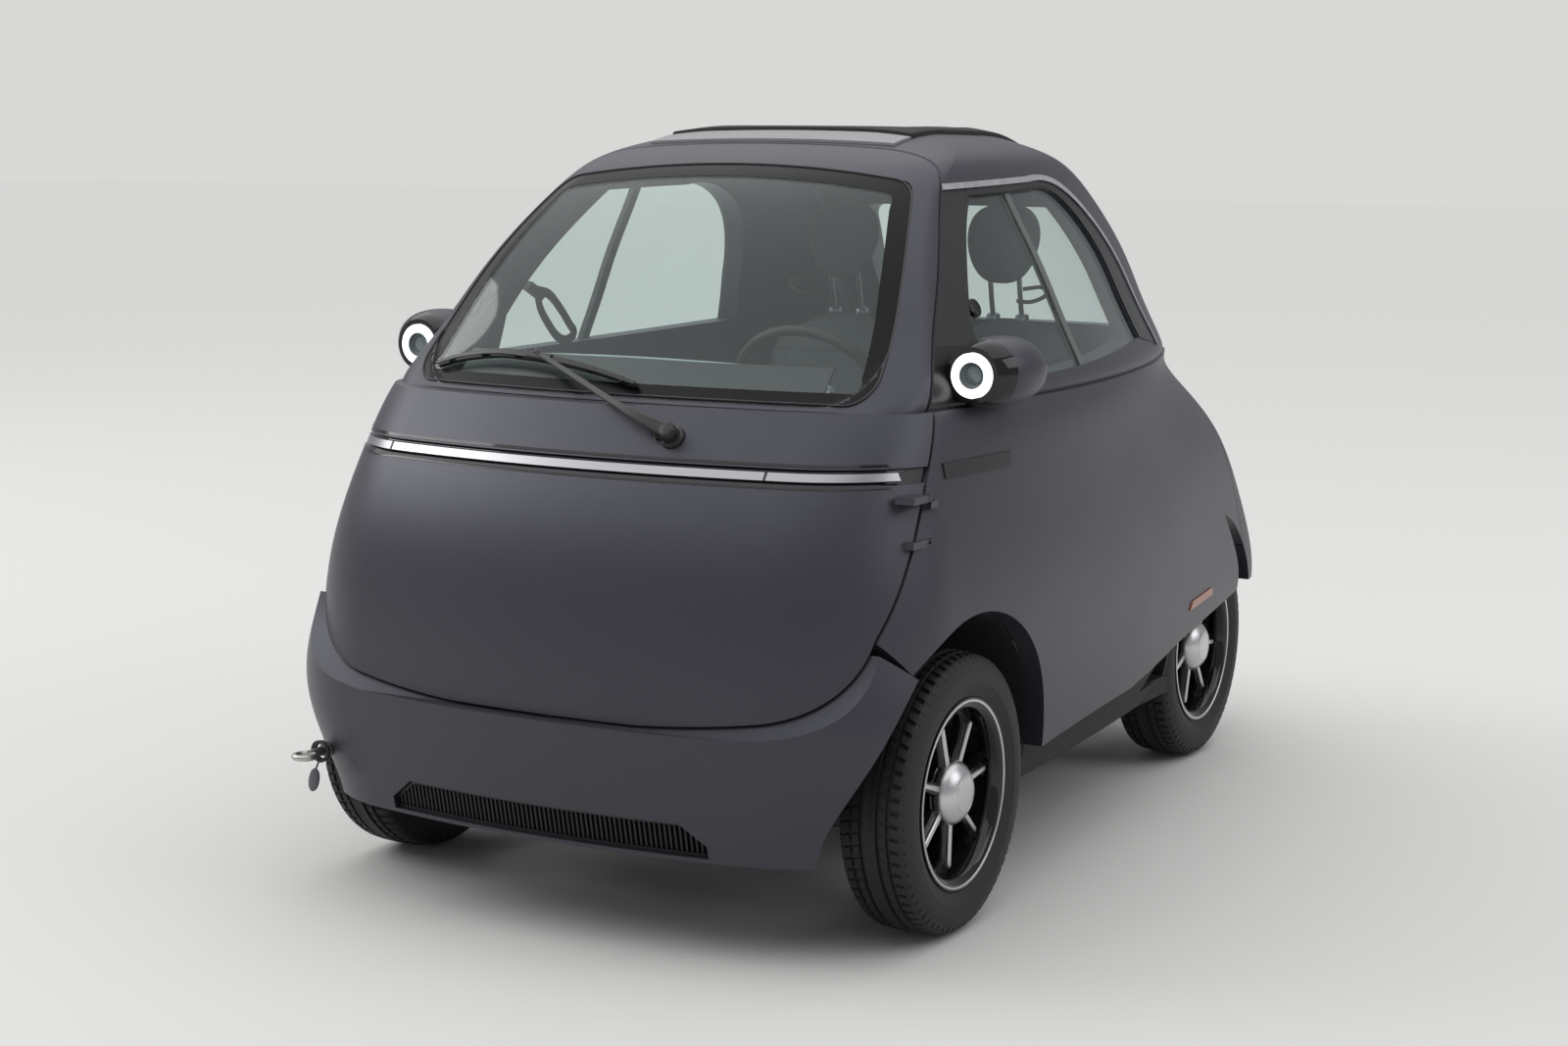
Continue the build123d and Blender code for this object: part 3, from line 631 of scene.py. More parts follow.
def turned_part(profile, centre, axis, segments, closed=False):
    """A turned shape: (distance along the axis, radius) pairs, in millimetres, spun round it."""
    axis = Vector(axis).normalized()
    side = axis.orthogonal().normalized()
    other = axis.cross(side)
    verts = []
    for along, radius in profile:
        for k in range(segments):
            t = 2 * pi * k / segments
            out = side * cos(t) + other * sin(t)
            verts.append(Vector(centre) + axis * (along * MM) + out * (radius * MM))
    return verts, ring_faces(len(profile), segments, closed)


# %% [markdown]
# ## Windscreen border
# A bonded windscreen has a black ceramic band baked round its edge, which hides the glue. It is a
# thin sheet that follows the glass, about 25 mm wide at the top, 36 mm at the sides and 22 mm at
# the bottom, with a rubber seal round it. Rays onto the glass keep it on the curve. Painted into
# the glass's own finish it would need an unwrapped pane, and its edge would be less crisp.

# %% Make the windscreen's black band and its seal
screen_tree = tree_of("windscreen", "door_shell")
screen_edges = [
    arc((-0.4, 1.396), (0.0, 1.427), (0.4, 1.396)),
    arc((0.4, 1.396), (0.484, 1.191), (0.518, 0.995)),
    line((0.518, 0.995), (-0.518, 0.995)),
    arc((-0.518, 0.995), (-0.484, 1.191), (-0.4, 1.396)),
]
screen_loop = rounded_loop(screen_edges, [0.036, 0.052, 0.052, 0.036], 260)


def band_width(n):
    """Narrow along the top and bottom edges, wide at the sides."""
    if n.y < -0.3:
        return 0.025 + 0.022 * max(n.y + 0.8, 0.0)
    return 0.036 - 0.0145 * min(max((n.y - 0.1) / 0.8, 0.0), 1.0)


BAND_START = 0.0012
BAND_COLUMNS = 6
flat_rows = []
for p, n in zip(screen_loop, inward(screen_loop)):
    reach = band_width(n) - BAND_START
    steps = [BAND_START + reach * k / (BAND_COLUMNS - 1) for k in range(BAND_COLUMNS)]
    flat_rows.append([Vector(p) + n * step for step in steps])
screen_rows = cast_rows(flat_rows, from_front, screen_tree)
screen_sheet = skin_parts(screen_rows, 0.0006, 0.0009, loop=True)
piece("windscreen_band", screen_sheet, band_black, "door")
seal_line = [row[0][0] + row[0][1] * 0.001 for row in screen_rows]
piece("windscreen_seal", tube_part(seal_line, 0.0024, closed=True), dark_trim, "door")

# %% [markdown]
# ## Side windows
# The side window is a dark frame under a bright roof rail. A satin header strip runs under the
# rail, and a glossy black seal widens towards the back corner. Cutting them into the shell would
# break its smooth surface, so both are flat curves dropped onto the body's side, and mirrored for
# the other side.

# %% Make the window frames and seals
side_tree = tree_of("body_shell", "side_glass")
glass_edge = (
    line((-0.38, 1.366), (-0.06, 1.374), 20)
    + arc((-0.06, 1.374), (0.15, 1.33), (0.272, 1.16))[1:]
    + line((0.272, 1.16), (0.318, 1.048), 10)[1:]
)
rail_edge = (
    line((-0.38, 1.3825), (-0.06, 1.392), 20)
    + arc((-0.06, 1.392), (0.264, 1.319), (0.439, 1.15))[1:]
    + line((0.439, 1.15), (0.538, 1.02), 10)[1:]
)
FRAME_STEPS = 90
glass_edge = spaced(glass_edge, FRAME_STEPS)
rail_edge = spaced(rail_edge, FRAME_STEPS)


def seal_share(t):
    """How much of the frame the black seal takes, from front to back."""
    grow = min(max((t - 0.15) / 0.5, 0.0), 1.0)
    return 0.16 + 0.56 * grow * grow * (3 - 2 * grow)


def frame_rows(low_share, high_share, columns):
    """Rows across part of the window frame."""
    flat_rows = []
    for i in range(FRAME_STEPS):
        low, high = low_share(i / (FRAME_STEPS - 1)), high_share(i / (FRAME_STEPS - 1))
        shares = [low + (high - low) * k / (columns - 1) for k in range(columns)]
        flat_rows.append([Vector(glass_edge[i]).lerp(Vector(rail_edge[i]), share) for share in shares])
    return cast_rows(flat_rows, from_left, side_tree)


header_part = skin_parts(frame_rows(seal_share, lambda t: 0.99, 5), 0.0016, 0.0022)
piece("window_headers", both_sides(header_part), dark_trim, "body")
seal_part = skin_parts(frame_rows(lambda t: 0.05, seal_share, 7), 0.003, 0.0036)
piece("window_seals", both_sides(seal_part), band_black, "body")

# %% [markdown]
# ## Tyres
# A tyre is a turned shape, but its tread is not: it has four grooves round it and rows of blocks
# at the shoulders. The profile makes the round grooves, and pushing the last third of each block's
# share of the turn in makes the gaps between the blocks. A bump could only hint at them: the blocks
# break the tyre's outline too, so they are real.

# %% Make the tyres
WHEELS = {
    "front_left": (0.5955, -0.783, 1), "front_right": (-0.5955, -0.783, -1),
    "rear_left": (0.4725, 0.819, 1), "rear_right": (-0.4725, 0.819, -1),
}
AXLE_HEIGHT = 0.268
HALF_TYRE = [
    (0, 267), (3.5, 267), (4.5, 267.2), (13, 267.2), (14.2, 261.2), (19.8, 261.2), (21, 266.8),
    (33, 266.2), (34.2, 260.4), (39.2, 260.4), (40.4, 265.2), (50, 263.8), (57.5, 260.8), (62.5, 257),
    (65.5, 252), (67.2, 245), (70, 238), (71.8, 229), (72.2, 220), (71.6, 212), (71.9, 210.8),
    (71.2, 209.6), (69, 201), (65.2, 193), (62.2, 187), (61.8, 184.5), (60, 183.8), (59, 176),
    (58.5, 166.5),
]
print("half profile", len(HALF_TYRE), "points")
BLOCKS = 68
SLICES = ((0.0, 0), (0.62, 0), (0.68, 1), (0.94, 1))


def block_depth(off_middle, radius):
    """How deep the gap between two blocks is: deepest at the shoulder."""
    if 40.4 <= off_middle <= 57.5:
        return 5.0 if radius > 262 else 0.0
    if 57.5 < off_middle <= 66 and radius > 250:
        return 3.5
    return 2.2 if 20.4 < off_middle < 34 and radius > 264 else 0.0


def tyre_part(centre, side):
    """Vertices and faces of one tyre."""
    full = [(-x, r) for x, r in reversed(HALF_TYRE[1:])] + HALF_TYRE
    verts = []
    for block in range(BLOCKS):
        for share, cut in SLICES:
            for x, r in full:
                lag = 0.5 * max(abs(x) - 20, 0.0) / 40 if abs(x) < 65.5 else 0.4
                angle = 2 * pi * (block + share + lag) / BLOCKS
                radius = MM * (r - (block_depth(abs(x), r) if cut else 0.0))
                verts.append(Vector((
                    centre[0] + side * MM * x, centre[1] + radius * cos(angle),
                    centre[2] + radius * sin(angle),
                )))
    return verts, ring_faces(BLOCKS * len(SLICES), len(full), closed=True)


for corner, (x, y, side) in WHEELS.items():
    piece("tread_tyre_" + corner, tyre_part((x, y, AXLE_HEIGHT), side), rubber, "wheel_" + corner,
          ["tyre_" + corner], 28)

# %% [markdown]
# ## Wheels
# The rim is a black barrel with seven black spokes. A silver bar lies on each spoke and a silver
# dome covers the nuts. The barrel and the dome are turned from profiles, and one spoke and one bar
# are drawn and copied round. The gaps between the spokes are open, as on the real wheel, so the
# dark space behind them shows from every side.

# %% Make rims, spokes, bars and caps
SPOKES = 7
BARREL = [
    (60.5, 166), (60.8, 181.5), (64, 181.8), (64.4, 179), (63.2, 172.5), (60, 165),
    (54, 159.5), (30, 157), (0, 156), (-56, 160), (-64, 180), (-64, 181.8),
    (-60.8, 181.5), (-60.5, 166), (-20, 165), (30, 165),
]
LIP = [(63.6, 173.8), (64.6, 174.5), (64.6, 178.2), (64, 178.8), (62.8, 178), (62.4, 174.5)]
CAP = [
    (30, 62.5), (38, 62.5), (45, 60.5), (52, 56), (58, 50), (63, 43),
    (66, 37.8), (66.4, 36.4), (65.4, 35.8), (65.5, 35), (66.8, 34.4), (68, 30),
    (69, 18), (69.3, 4),
]
HUB_DISC = [(6, 66), (24, 66), (31, 56), (31, 20), (6, 20)]


def spoke_part(centre, side, angle, stations):
    """One bar lofted outwards: (radius, half width, back, front) stations in millimetres."""
    out = Vector((0, cos(angle), sin(angle)))
    across = Vector((0, -sin(angle), cos(angle)))
    verts = []
    for radius, half, back, front in ([v * MM for v in row] for row in stations):
        edge = front - 0.25 * (front - back)
        for u, v in ((-1, back), (-1, edge), (-0.72, front), (0.72, front), (1, edge), (1, back)):
            verts.append(Vector(centre) + out * radius + across * (half * u) + Vector((side * v, 0, 0)))
    return verts, ring_faces(len(stations), 6)


BLACK_SPOKE = [(50, 17, 8, 31), (90, 12, 10, 32.5), (130, 13, 10, 32.5),
               (150, 20, 8, 30), (158.5, 30, 4, 26)]
SILVER_BAR = [(50, 6, 30, 40), (80, 5.8, 31, 40.5), (110, 5.6, 31, 41.2),
              (135, 5.5, 31, 41.8), (140, 5, 31.5, 41.6), (142.5, 3.4, 32, 40.8)]
for corner, (x, y, side) in WHEELS.items():
    body = "wheel_" + corner
    centre = (x, y, AXLE_HEIGHT)
    axis = (side, 0, 0)
    phase = radians(8 if corner.startswith("front") else -6)
    turns = [phase + 2 * pi * i / SPOKES for i in range(SPOKES)]
    rim = join_parts(
        turned_part(BARREL, centre, axis, 72, closed=True),
        turned_part(HUB_DISC, centre, axis, 48, closed=True),
        *[spoke_part(centre, side, t, BLACK_SPOKE) for t in turns],
    )
    piece("open_rim_" + corner, rim, black_gloss, body, ["rim_" + corner])
    lip = turned_part(LIP, centre, axis, 72, closed=True)
    piece("lip_ring_" + corner, lip, silver, body)
    cap = join_parts(
        turned_part(CAP, centre, axis, 56),
        turned_part([(-40, 40), (12, 40), (12, 22), (-40, 22)], centre, axis, 32, closed=True),
        *[spoke_part(centre, side, t, SILVER_BAR) for t in turns],
    )
    piece("cap_and_bars_" + corner, cap, silver, body, ["hub_" + corner], 30)

# %% [markdown]
# ## Bars with a chamfered section
# A wiper arm, a strap and a trim bar are all the same idea: a small rectangle with its corners cut,
# carried along a curved line. A smooth curve through a few points gives the line, and an "up"
# direction keeps the rectangle from twisting.


# %% Smooth lines and chamfered bars
def smooth_line(points, count):
    """A smooth curve through the points, evenly spaced."""
    points = [Vector(p) for p in points]
    ends = [points[0] * 2 - points[1]] + points + [points[-1] * 2 - points[-2]]
    chain = []
    for i in range(1, len(ends) - 2):
        a, b, c, d = ends[i - 1:i + 3]
        for k in range(16):
            t = k / 16
            chain.append(0.5 * (b * 2 + (c - a) * t + (a * 2 - b * 5 + c * 4 - d) * t * t
                                + (b * 3 - a - c * 3 + d) * t * t * t))
    chain.append(points[-1])
    return [Vector(p) for p in spaced(chain, count)]


def bar_part(points, width, height, up, chamfer=0.3):
    """A bar along points: width across, height along up, corners cut."""
    verts = []
    for i, (p, along) in enumerate(zip(points, directions(points))):
        rise = Vector(up)
        rise = (rise - along * rise.dot(along)).normalized()
        side = along.cross(rise)
        t = i / (len(points) - 1)
        w, h = valued(width, t) / 2, valued(height, t) / 2
        cut = chamfer * min(w, h)
        verts += [Vector(p) + side * u + rise * v for u, v in (
            (-w + cut, -h), (w - cut, -h), (w, -h + cut), (w, h - cut),
            (w - cut, h), (-w + cut, h), (-w, h - cut), (-w, -h + cut))]
    return verts, ring_faces(len(points), 8)


# %% [markdown]
# ## Wiper
# One long arm carries the blade over the middle of the glass. The blade is a rubber strip in a bow
# of thin claws, so it is made of several bars: a spine, six claws and the strip under them. One
# bevelled curve could stand in for it, but a wiper's thin parts are what the eye looks for.

# %% Make the wiper
wiper_black = moulded("wiper_black", (0.014, 0.014, 0.015), 0.34, 500.0, 0.00006)
GLASS_UP = Vector((0.0, -0.78, 0.63))
BLADE = smooth_line([
    (-0.462, -0.903, 1.027), (-0.396, -0.9, 1.044), (-0.3, -0.907, 1.0545), (-0.178, -0.924, 1.049),
    (-0.07, -0.94, 1.037), (0.044, -0.96, 1.017),
], 61)
spine = [p + GLASS_UP * (0.004 + 0.006 * sin(pi * i / 60)) for i, p in enumerate(BLADE)]
wiper_parts = [
    bar_part(spine, lambda t: 0.007 + 0.006 * sin(pi * t), 0.0035, GLASS_UP),
    bar_part([p - GLASS_UP * 0.0075 for p in BLADE], 0.0045, 0.009, GLASS_UP),
    bar_part([p - GLASS_UP * 0.003 for p in BLADE], 0.01, 0.0022, GLASS_UP),
]
for i in (4, 14, 24, 36, 46, 56):
    claw = [spine[i], BLADE[i] - GLASS_UP * 0.004]
    wiper_parts.append(bar_part(claw, 0.012, 0.009, BLADE[i + 1] - BLADE[i]))
PIVOT_AT = Vector((0.192, -1.0635, 0.9345))
PIVOT_UP = Vector((0, -0.795, 0.606))
HOOK_AT = Vector((-0.193, -0.93, 1.06))
arm_start = PIVOT_AT + PIVOT_UP * 0.022
arm_line = smooth_line([arm_start, (0.095, -1.067, 0.979), (-0.05, -1.0, 1.0205), HOOK_AT], 40)


def arm_width(t):
    """The arm narrows quickly past its knee."""
    return 0.027 - 0.013 * min(t / 0.32, 1.0) - 0.004 * t


def arm_height(t):
    """It also gets thinner."""
    return 0.014 - 0.008 * min(t / 0.4, 1.0)


claw_hook = steps_from(HOOK_AT, (0, 0, 0), (-0.014, 0.004, 0.006), (-0.02, 0.008, -0.002))
saddle = [BLADE[i] + GLASS_UP * 0.009 for i in (28, 35)]
PIVOT_CAP = [(-10, 24), (2, 24.5), (6, 23), (9, 18), (14, 16.5), (30, 16), (34, 13), (35, 6)]
hose = steps_from(PIVOT_AT, (-0.034, -0.004, -0.004), (-0.03, -0.018, 0.01))
hose += [arm_line[12] - GLASS_UP * 0.008, arm_line[28] - GLASS_UP * 0.007]
hose_loop = steps_from(PIVOT_AT, (0.002, 0, 0.004), (-0.022, -0.01, -0.012), (-0.042, -0.002, 0.004),
                 (-0.038, -0.01, 0.014))
wiper_parts += [
    bar_part(arm_line, arm_width, arm_height, GLASS_UP + PIVOT_UP, chamfer=0.5),
    bar_part(smooth_line(claw_hook + [BLADE[30] + GLASS_UP * 0.01], 16), 0.01, 0.006, GLASS_UP),
    bar_part(saddle, 0.015, 0.011, GLASS_UP, chamfer=0.5),
    turned_part(PIVOT_CAP, PIVOT_AT, PIVOT_UP, 32),
    tube_part(smooth_line(hose, 24), 0.0028),
    tube_part(smooth_line(hose_loop, 14), 0.0035),
]
piece("wiper_arm_and_blade", join_parts(*wiper_parts), wiper_black, "door", ["wiper"], 35)

# %% [markdown]
# ## Light bar joints and channel
# The bar across the nose is three lengths, so two hairline joints cross it, and it sits in a
# recessed channel round a black bezel. All are dark strips just proud of the skin, which rays find
# again. The channel's two strips are partly that real black bezel and partly painted shade: they
# reach past the bezel onto the door's paint, where the recess is only in shade. Real grooves would
# have to be cut into the solids, and at a hair's width a dark strip looks the same.

# %% Make the bar's joints and the painted shade of its channel
bar_tree = tree_of("light_bar_front")
joint_parts = []
for x in (-0.453, 0.393):
    flat_rows = [[(x + dx, z) for z in (0.8732, 0.88, 0.8868)] for dx in (-0.0022, 0.0022)]
    joint_parts.append(skin_parts(cast_rows(flat_rows, from_front, bar_tree), 0.0008, 0.0016))
piece("bar_joints", join_parts(*joint_parts), dark_trim, "door")
# Two strips of painted shade above and below the bar, partly over its black bezel and partly over the
# door's paint.
channel_tree = tree_of("strip_bezel_front", "door_shell")
channel_shade_parts = []
for low_z, high_z in ((0.8595, 0.8725), (0.8875, 0.902)):
    levels = [low_z + (high_z - low_z) * k / 3 for k in range(4)]
    flat_rows = [[(-0.596 + 1.192 * i / 100, z) for z in levels] for i in range(101)]
    channel_shade_parts.append(skin_parts(cast_rows(flat_rows, from_front, channel_tree), 0.0008, 0.0016))
piece("bar_channel_shade", join_parts(*channel_shade_parts), black_gloss, "door")

# %% [markdown]
# ## Lower grille
# The intake under the bumper is a row of thin upright ribs over a dark back. Each rib is the same
# little plate, stood on the bumper's curve every ten millimetres. An array could repeat it, but a
# loop also lets each rib follow the curve and the opening's sloping ends.

# %% Make the grille
RIB_PITCH = 0.0101
RIB_THICK = 0.0042
GRILLE_HALF = 0.351
GRILLE_FOOT = 0.1985


def bumper_front(x, z):
    """How far forward the intake stands."""
    return -1.2115 - 0.028 * (z - 0.19) / 0.13 + x * x / 4.55


def rib_top(x):
    """The top edge drops towards the ends."""
    return 0.26 if abs(x) < 0.3 else 0.26 - 0.04 * (abs(x) - 0.3) / 0.052


def grille_strip(lows, highs, depth, thick):
    """A curved strip between two height functions."""
    rows = []
    for i in range(61):
        x = GRILLE_HALF * (i / 30 - 1)
        heights = lows(x), (lows(x) + highs(x)) / 2, highs(x)
        rows.append([(Vector((x, bumper_front(x, z) + depth, z)), Vector((0, -1, 0))) for z in heights])
    return skin_parts(rows, 0.0, thick)


grille_parts = [
    grille_strip(lambda x: GRILLE_FOOT, rib_top, 0.013, 0.003),
    grille_strip(lambda x: GRILLE_FOOT, lambda x: 0.2045, 0.0, 0.014),
    grille_strip(lambda x: rib_top(x) - 0.005, rib_top, 0.0, 0.014),
]
for i in range(-34, 35):
    x = i * RIB_PITCH
    low, high = 0.203, rib_top(x) - 0.004
    verts = []
    for z in (low, (low + high) / 2, high):
        y = bumper_front(x, z) + 0.002
        verts += [Vector((x + RIB_THICK / 2 * u, y + back, z)) for u, back in (
            (-1, 0.013), (-1, 0.001), (-0.4, 0), (0.4, 0), (1, 0.001), (1, 0.013))]
    grille_parts.append((verts, ring_faces(3, 6)))
piece("grille_ribs", join_parts(*grille_parts), dark_trim, "body", ["grille_front"], 30)

# %% [markdown]
# ## Side window catches
# Each front pane slides, and is held shut by a round black catch on the glass near its front edge.
# A cylinder would do at a distance. This one is turned from a short profile instead, so that its
# dished face catches the light, and is tilted to lie flat on the pane.

# %% Make the catches
CATCH_AT = Vector((0.545, -0.543, 1.157))
CATCH_OUT = Vector((0.91, -0.08, 0.41)).normalized()
catch = turned_part([(-4, 19), (4, 19.2), (6.5, 18), (7.8, 15), (7, 12),
                     (6.2, 6), (6.4, 1.5)], CATCH_AT, CATCH_OUT, 32)
piece("pane_catches", both_sides(catch), black_gloss, "body")

# %% [markdown]
# ## Lamp projectors
# Behind each lamp's clear front a projector sits in the lit ring: a dark bezel with a domed lens.
# It is turned from one stepped profile, so that the steps catch the light as rings.

# %% Make the projectors
projector_grey = uneven("projector_grey", (0.3, 0.35, 0.36), 0.3, 0.16, 0.28, 50.0, 0.2)
LAMP_AT = Vector((0.636, -0.716, 1.047))
LAMP_OUT = Vector((0, -1, 0))
projector = turned_part([
    (0.5, 23.4), (22.1, 23.6), (22.7, 25), (23.4, 24.7), (22.6, 22.6), (16, 20.8), (15, 18.8),
    (16.6, 18.2), (17, 17.4), (15, 16.8), (16.4, 12.4), (17.6, 7.2), (18, 1.5),
], LAMP_AT, LAMP_OUT, 48)
piece("lamp_projectors", both_sides(projector), projector_grey, "body",
      ["lamp_lenses"], 25)

# %% [markdown]
# ## Dash pad on the door
# The shelf behind the glass has an upholstered edge that rises in a shallow arch, with a thin pale
# bead along its top. Its line follows the inside of the glass, so rays find the glass first.

# %% Make the dash pad
dash_grey = new_finish("dash_grey", (0.34, 0.38, 0.42), 0.45)
vary_colour(dash_grey, object_noise(dash_grey, 5.0), (0.31, 0.35, 0.39), (0.37, 0.41, 0.46))
bead_pale = moulded("dash_bead", (0.55, 0.6, 0.62), 0.4, 90.0, 0.00003)


def pad_top(x):
    """Height of the pad's arched edge."""
    return 1.062 - 0.007 * (x / 0.3) ** 2 if abs(x) < 0.3 else 1.055 - 0.03 * (abs(x) - 0.3) / 0.12


def behind_glass(x, z, gap):
    """A point a little way inside the glass, and the way back out."""
    found, normal = from_front(screen_tree, x, z)
    return found + Vector((0, 1, -0.35)) * gap, normal


PAD_STEPS = 60
pad_rows = []
bead_line = []
for i in range(PAD_STEPS + 1):
    x = -0.415 + 0.83 * i / PAD_STEPS
    high = pad_top(x)
    row = [behind_glass(x, 0.996 + (high - 0.996) * k / 5, 0.019) for k in range(6)]
    top, normal = row[-1]
    row.append((top + Vector((0, 0.007, 0.0035)), (normal + Vector((0, 0.6, 1.2))).normalized()))
    row.append((top + Vector((0, 0.02, 0.002)), Vector((0, 0.25, 1))))
    pad_rows.append(row)
    bead_line.append(top + Vector((0, 0.003, 0.004)))
piece("dash_pad", skin_parts(pad_rows, 0.0, 0.008), dash_grey, "door")
piece("dash_bead", tube_part(bead_line, 0.0026), bead_pale, "door")

# %% [markdown]
# ## Pull loop and belt hooks
# A flat webbing loop hangs by the right-hand window, and a hook for the seat belt stands by each
# head restraint. A bevelled curve could make both, but it twists as it turns. A bar bent along a
# few points keeps its flat side the way that webbing and pressed hooks lie.

# %% Make the loop and the hooks
webbing = woven("webbing", (0.05, 0.055, 0.057), 0.8, 1400.0, 0.5, 0.0003)
LOOP_X = -0.5
loop_line = smooth_line([(LOOP_X, y, z) for y, z in (
    (-0.505, 1.154), (-0.457, 1.143), (-0.414, 1.11), (-0.378, 1.074), (-0.361, 1.058), (-0.372, 1.046),
    (-0.399, 1.041), (-0.43, 1.053), (-0.462, 1.082), (-0.487, 1.111), (-0.498, 1.137))], 60)
anchor_line = [(LOOP_X - 0.012, -0.52, 1.165), (LOOP_X + 0.006, -0.492, 1.14)]
pull_loop = join_parts(bar_part(loop_line, 0.02, 0.0035, (1, 0, 0)),
                       bar_part(anchor_line, 0.034, 0.02, (0, 0, 1)))
piece("pull_loop", pull_loop, webbing, "body")
HOOK_POINTS = [
    (-0.25, 0.318, 1.118), (-0.289, 0.3, 1.118), (-0.318, 0.3, 1.128), (-0.332, 0.3, 1.141),
    (-0.318, 0.3, 1.152), (-0.295, 0.3, 1.15), (-0.268, 0.312, 1.146),
]
hook = bar_part(smooth_line(HOOK_POINTS, 30), 0.009, 0.006, (0, 1, 0))
piece("belt_hooks", both_sides(hook), dark_trim, "body")

# %% [markdown]
# ## Steering wheel
# A padded ring on three flat spokes with a soft hub. The ring's tube is thicker where the hands
# go, and everything is drawn flat first, then tipped into the wheel's own plane.

# %% Make the steering wheel
wheel_leather = woven("wheel_leather", (0.024, 0.025, 0.026), 0.5, 800.0, 0.3, 0.0002)
wheel_low, wheel_high = (Vector(v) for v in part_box("steering_wheel"))
WHEEL_AXIS = Vector((0, 0.88098, 0.47312))
WHEEL_UP = Vector((0, -0.47312, 0.88098))
hub_at = (wheel_low + wheel_high) / 2


def on_wheel(across, rise, out=0.0):
    """A point in the wheel's own plane."""
    return hub_at + Vector((1, 0, 0)) * across + WHEEL_UP * rise + WHEEL_AXIS * out


RIM_STEPS = 96
RIM_RADIUS = 0.17
rim_turns = [2 * pi * i / RIM_STEPS for i in range(RIM_STEPS)]
ring_points = [on_wheel(RIM_RADIUS * cos(t), RIM_RADIUS * sin(t)) for t in rim_turns]
wheel_parts = [
    tube_part(ring_points, lambda t: 0.0118 + 0.0011 * cos(4 * pi * t), closed=True, around=14),
    turned_part([(-10, 47), (4, 47.5), (10, 45), (13.8, 38), (15, 20), (15.2, 4)], hub_at, WHEEL_AXIS, 40),
]
for across, rise, end_rise in ((1, 0.06, 0.006), (-1, 0.06, 0.006), (0, -1, -0.162)):
    inner = on_wheel(across * 0.036, rise * 0.036, 0.002)
    outer = on_wheel(across * 0.162, end_rise)
    spoke_line = smooth_line([inner, (inner + outer) / 2 + WHEEL_AXIS * 0.003, outer], 14)
    wheel_parts.append(bar_part(spoke_line, lambda t: 0.04 - 0.012 * sin(pi * t), 0.012,
                                WHEEL_AXIS, chamfer=0.6))
piece("padded_wheel", join_parts(*wheel_parts), wheel_leather, "steering",
      ["steering_wheel"], 35)

# %% [markdown]
# ## Tow eye cover
# The plug that hides the tow eye's socket has been pulled out and hangs from its tether: a thin
# round dish of body colour under the eye. The dish and the ring round the socket are turned from
# short profiles, because the real ones are moulded round, and the tether is a thin tube.

# %% Make the cover and the socket ring
COVER_AT = Vector((-0.538, -1.214, 0.232))
COVER_OUT = Vector((-0.45, -0.85, 0.22)).normalized()
cover = turned_part([(-2.2, 21.5), (0.4, 22.8), (1.6, 22.2), (2.6, 15), (3, 3)], COVER_AT, COVER_OUT, 32)
tether_line = steps_from(COVER_AT, (0.002, 0.003, 0.02), (0.004, 0.01, 0.034)) + [(-0.54, -1.192, 0.27)]
tether = tube_part(smooth_line(tether_line, 12), 0.0018)
piece("tow_cover", join_parts(cover, tether), paint, "body")
socket = turned_part([(0, 15), (2, 20.5), (0.5, 22.5), (-6, 21.5), (-10, 15)],
                     Vector((-0.545, -1.186, 0.282)), (0, -1, 0), 36, closed=True)
piece("tow_socket_ring", socket, dark_trim, "body")

# %% [markdown]
# ## Stuffed pieces
# The bench and the head restraints start as plain closed forms, a little smaller than they end up.
# A voxel remesh gives each an even skin, and a short cloth run with air pressure crowns it and pulls
# its sides in. How far a point may move is capped. The sewn lines come after that, as shallow
# valleys pressed into the crowned skin.

# %% Helpers that stuff a form
def baked(obj):
    """Give an object the mesh that its modifiers make, and drop them."""
    made = bpy.data.meshes.new_from_object(obj.evaluated_get(bpy.context.evaluated_depsgraph_get()))
    obj.modifiers.clear()
    obj.data = made
    return obj


STATIONS = 40
ENDS = 9.0


def swept_block(profile, half):
    """A closed form: a flat (y, z) profile carried along x, drawn in towards both ends."""
    mid_y = sum(p[0] for p in profile) / len(profile)
    mid_z = sum(p[1] for p in profile) / len(profile)
    verts = []
    for i in range(STATIONS + 1):
        t = -cos(pi * i / STATIONS)
        size = max(1 - abs(t) ** ENDS, 0.0) ** (1 / ENDS) * 0.995 + 0.005
        for y, z in profile:
            verts.append(Vector((half * t, mid_y + (y - mid_y) * size, mid_z + (z - mid_z) * size)))
    return verts, ring_faces(STATIONS + 1, len(profile))


AIR = {
    "quality": 4, "mass": 0.3, "tension_stiffness": 14, "compression_stiffness": 14,
    "bending_stiffness": 0.6, "use_pressure": True, "uniform_pressure_force": 4,
    "vertex_group_mass": "held",
}
AIR_FRAMES = 20


def stuffed(name, part, voxel, most, held):
    """Remesh a closed form, blow it up gently, cap each point's move, and smooth it once."""
    obj = outward(mesh_object(name, part[0], part[1], cloth))
    even = obj.modifiers.new("even_skin", "REMESH")
    even.mode = "VOXEL"
    even.voxel_size = voxel
    baked(obj)
    group = obj.vertex_groups.new(name="held")
    group.add([v.index for v in obj.data.vertices if held(v.co)], 1.0, "REPLACE")
    air = obj.modifiers.new("air", "CLOTH")
    for setting, value in AIR.items():
        setattr(air.settings, setting, value)
    air.settings.effector_weights.gravity = 0
    air.collision_settings.use_collision = False
    start = [v.co.copy() for v in obj.data.vertices]
    for step in range(1, AIR_FRAMES + 1):
        SCENE.frame_set(step)
    baked(obj)
    SCENE.frame_set(1)
    for v, was in zip(obj.data.vertices, start):
        move = v.co - was
        if move.length > most:
            v.co = was + move * (most / move.length)
    finer = obj.modifiers.new("smoother", "SUBSURF")
    finer.levels = 1
    baked(obj)
    obj.data.shade_smooth()
    return obj


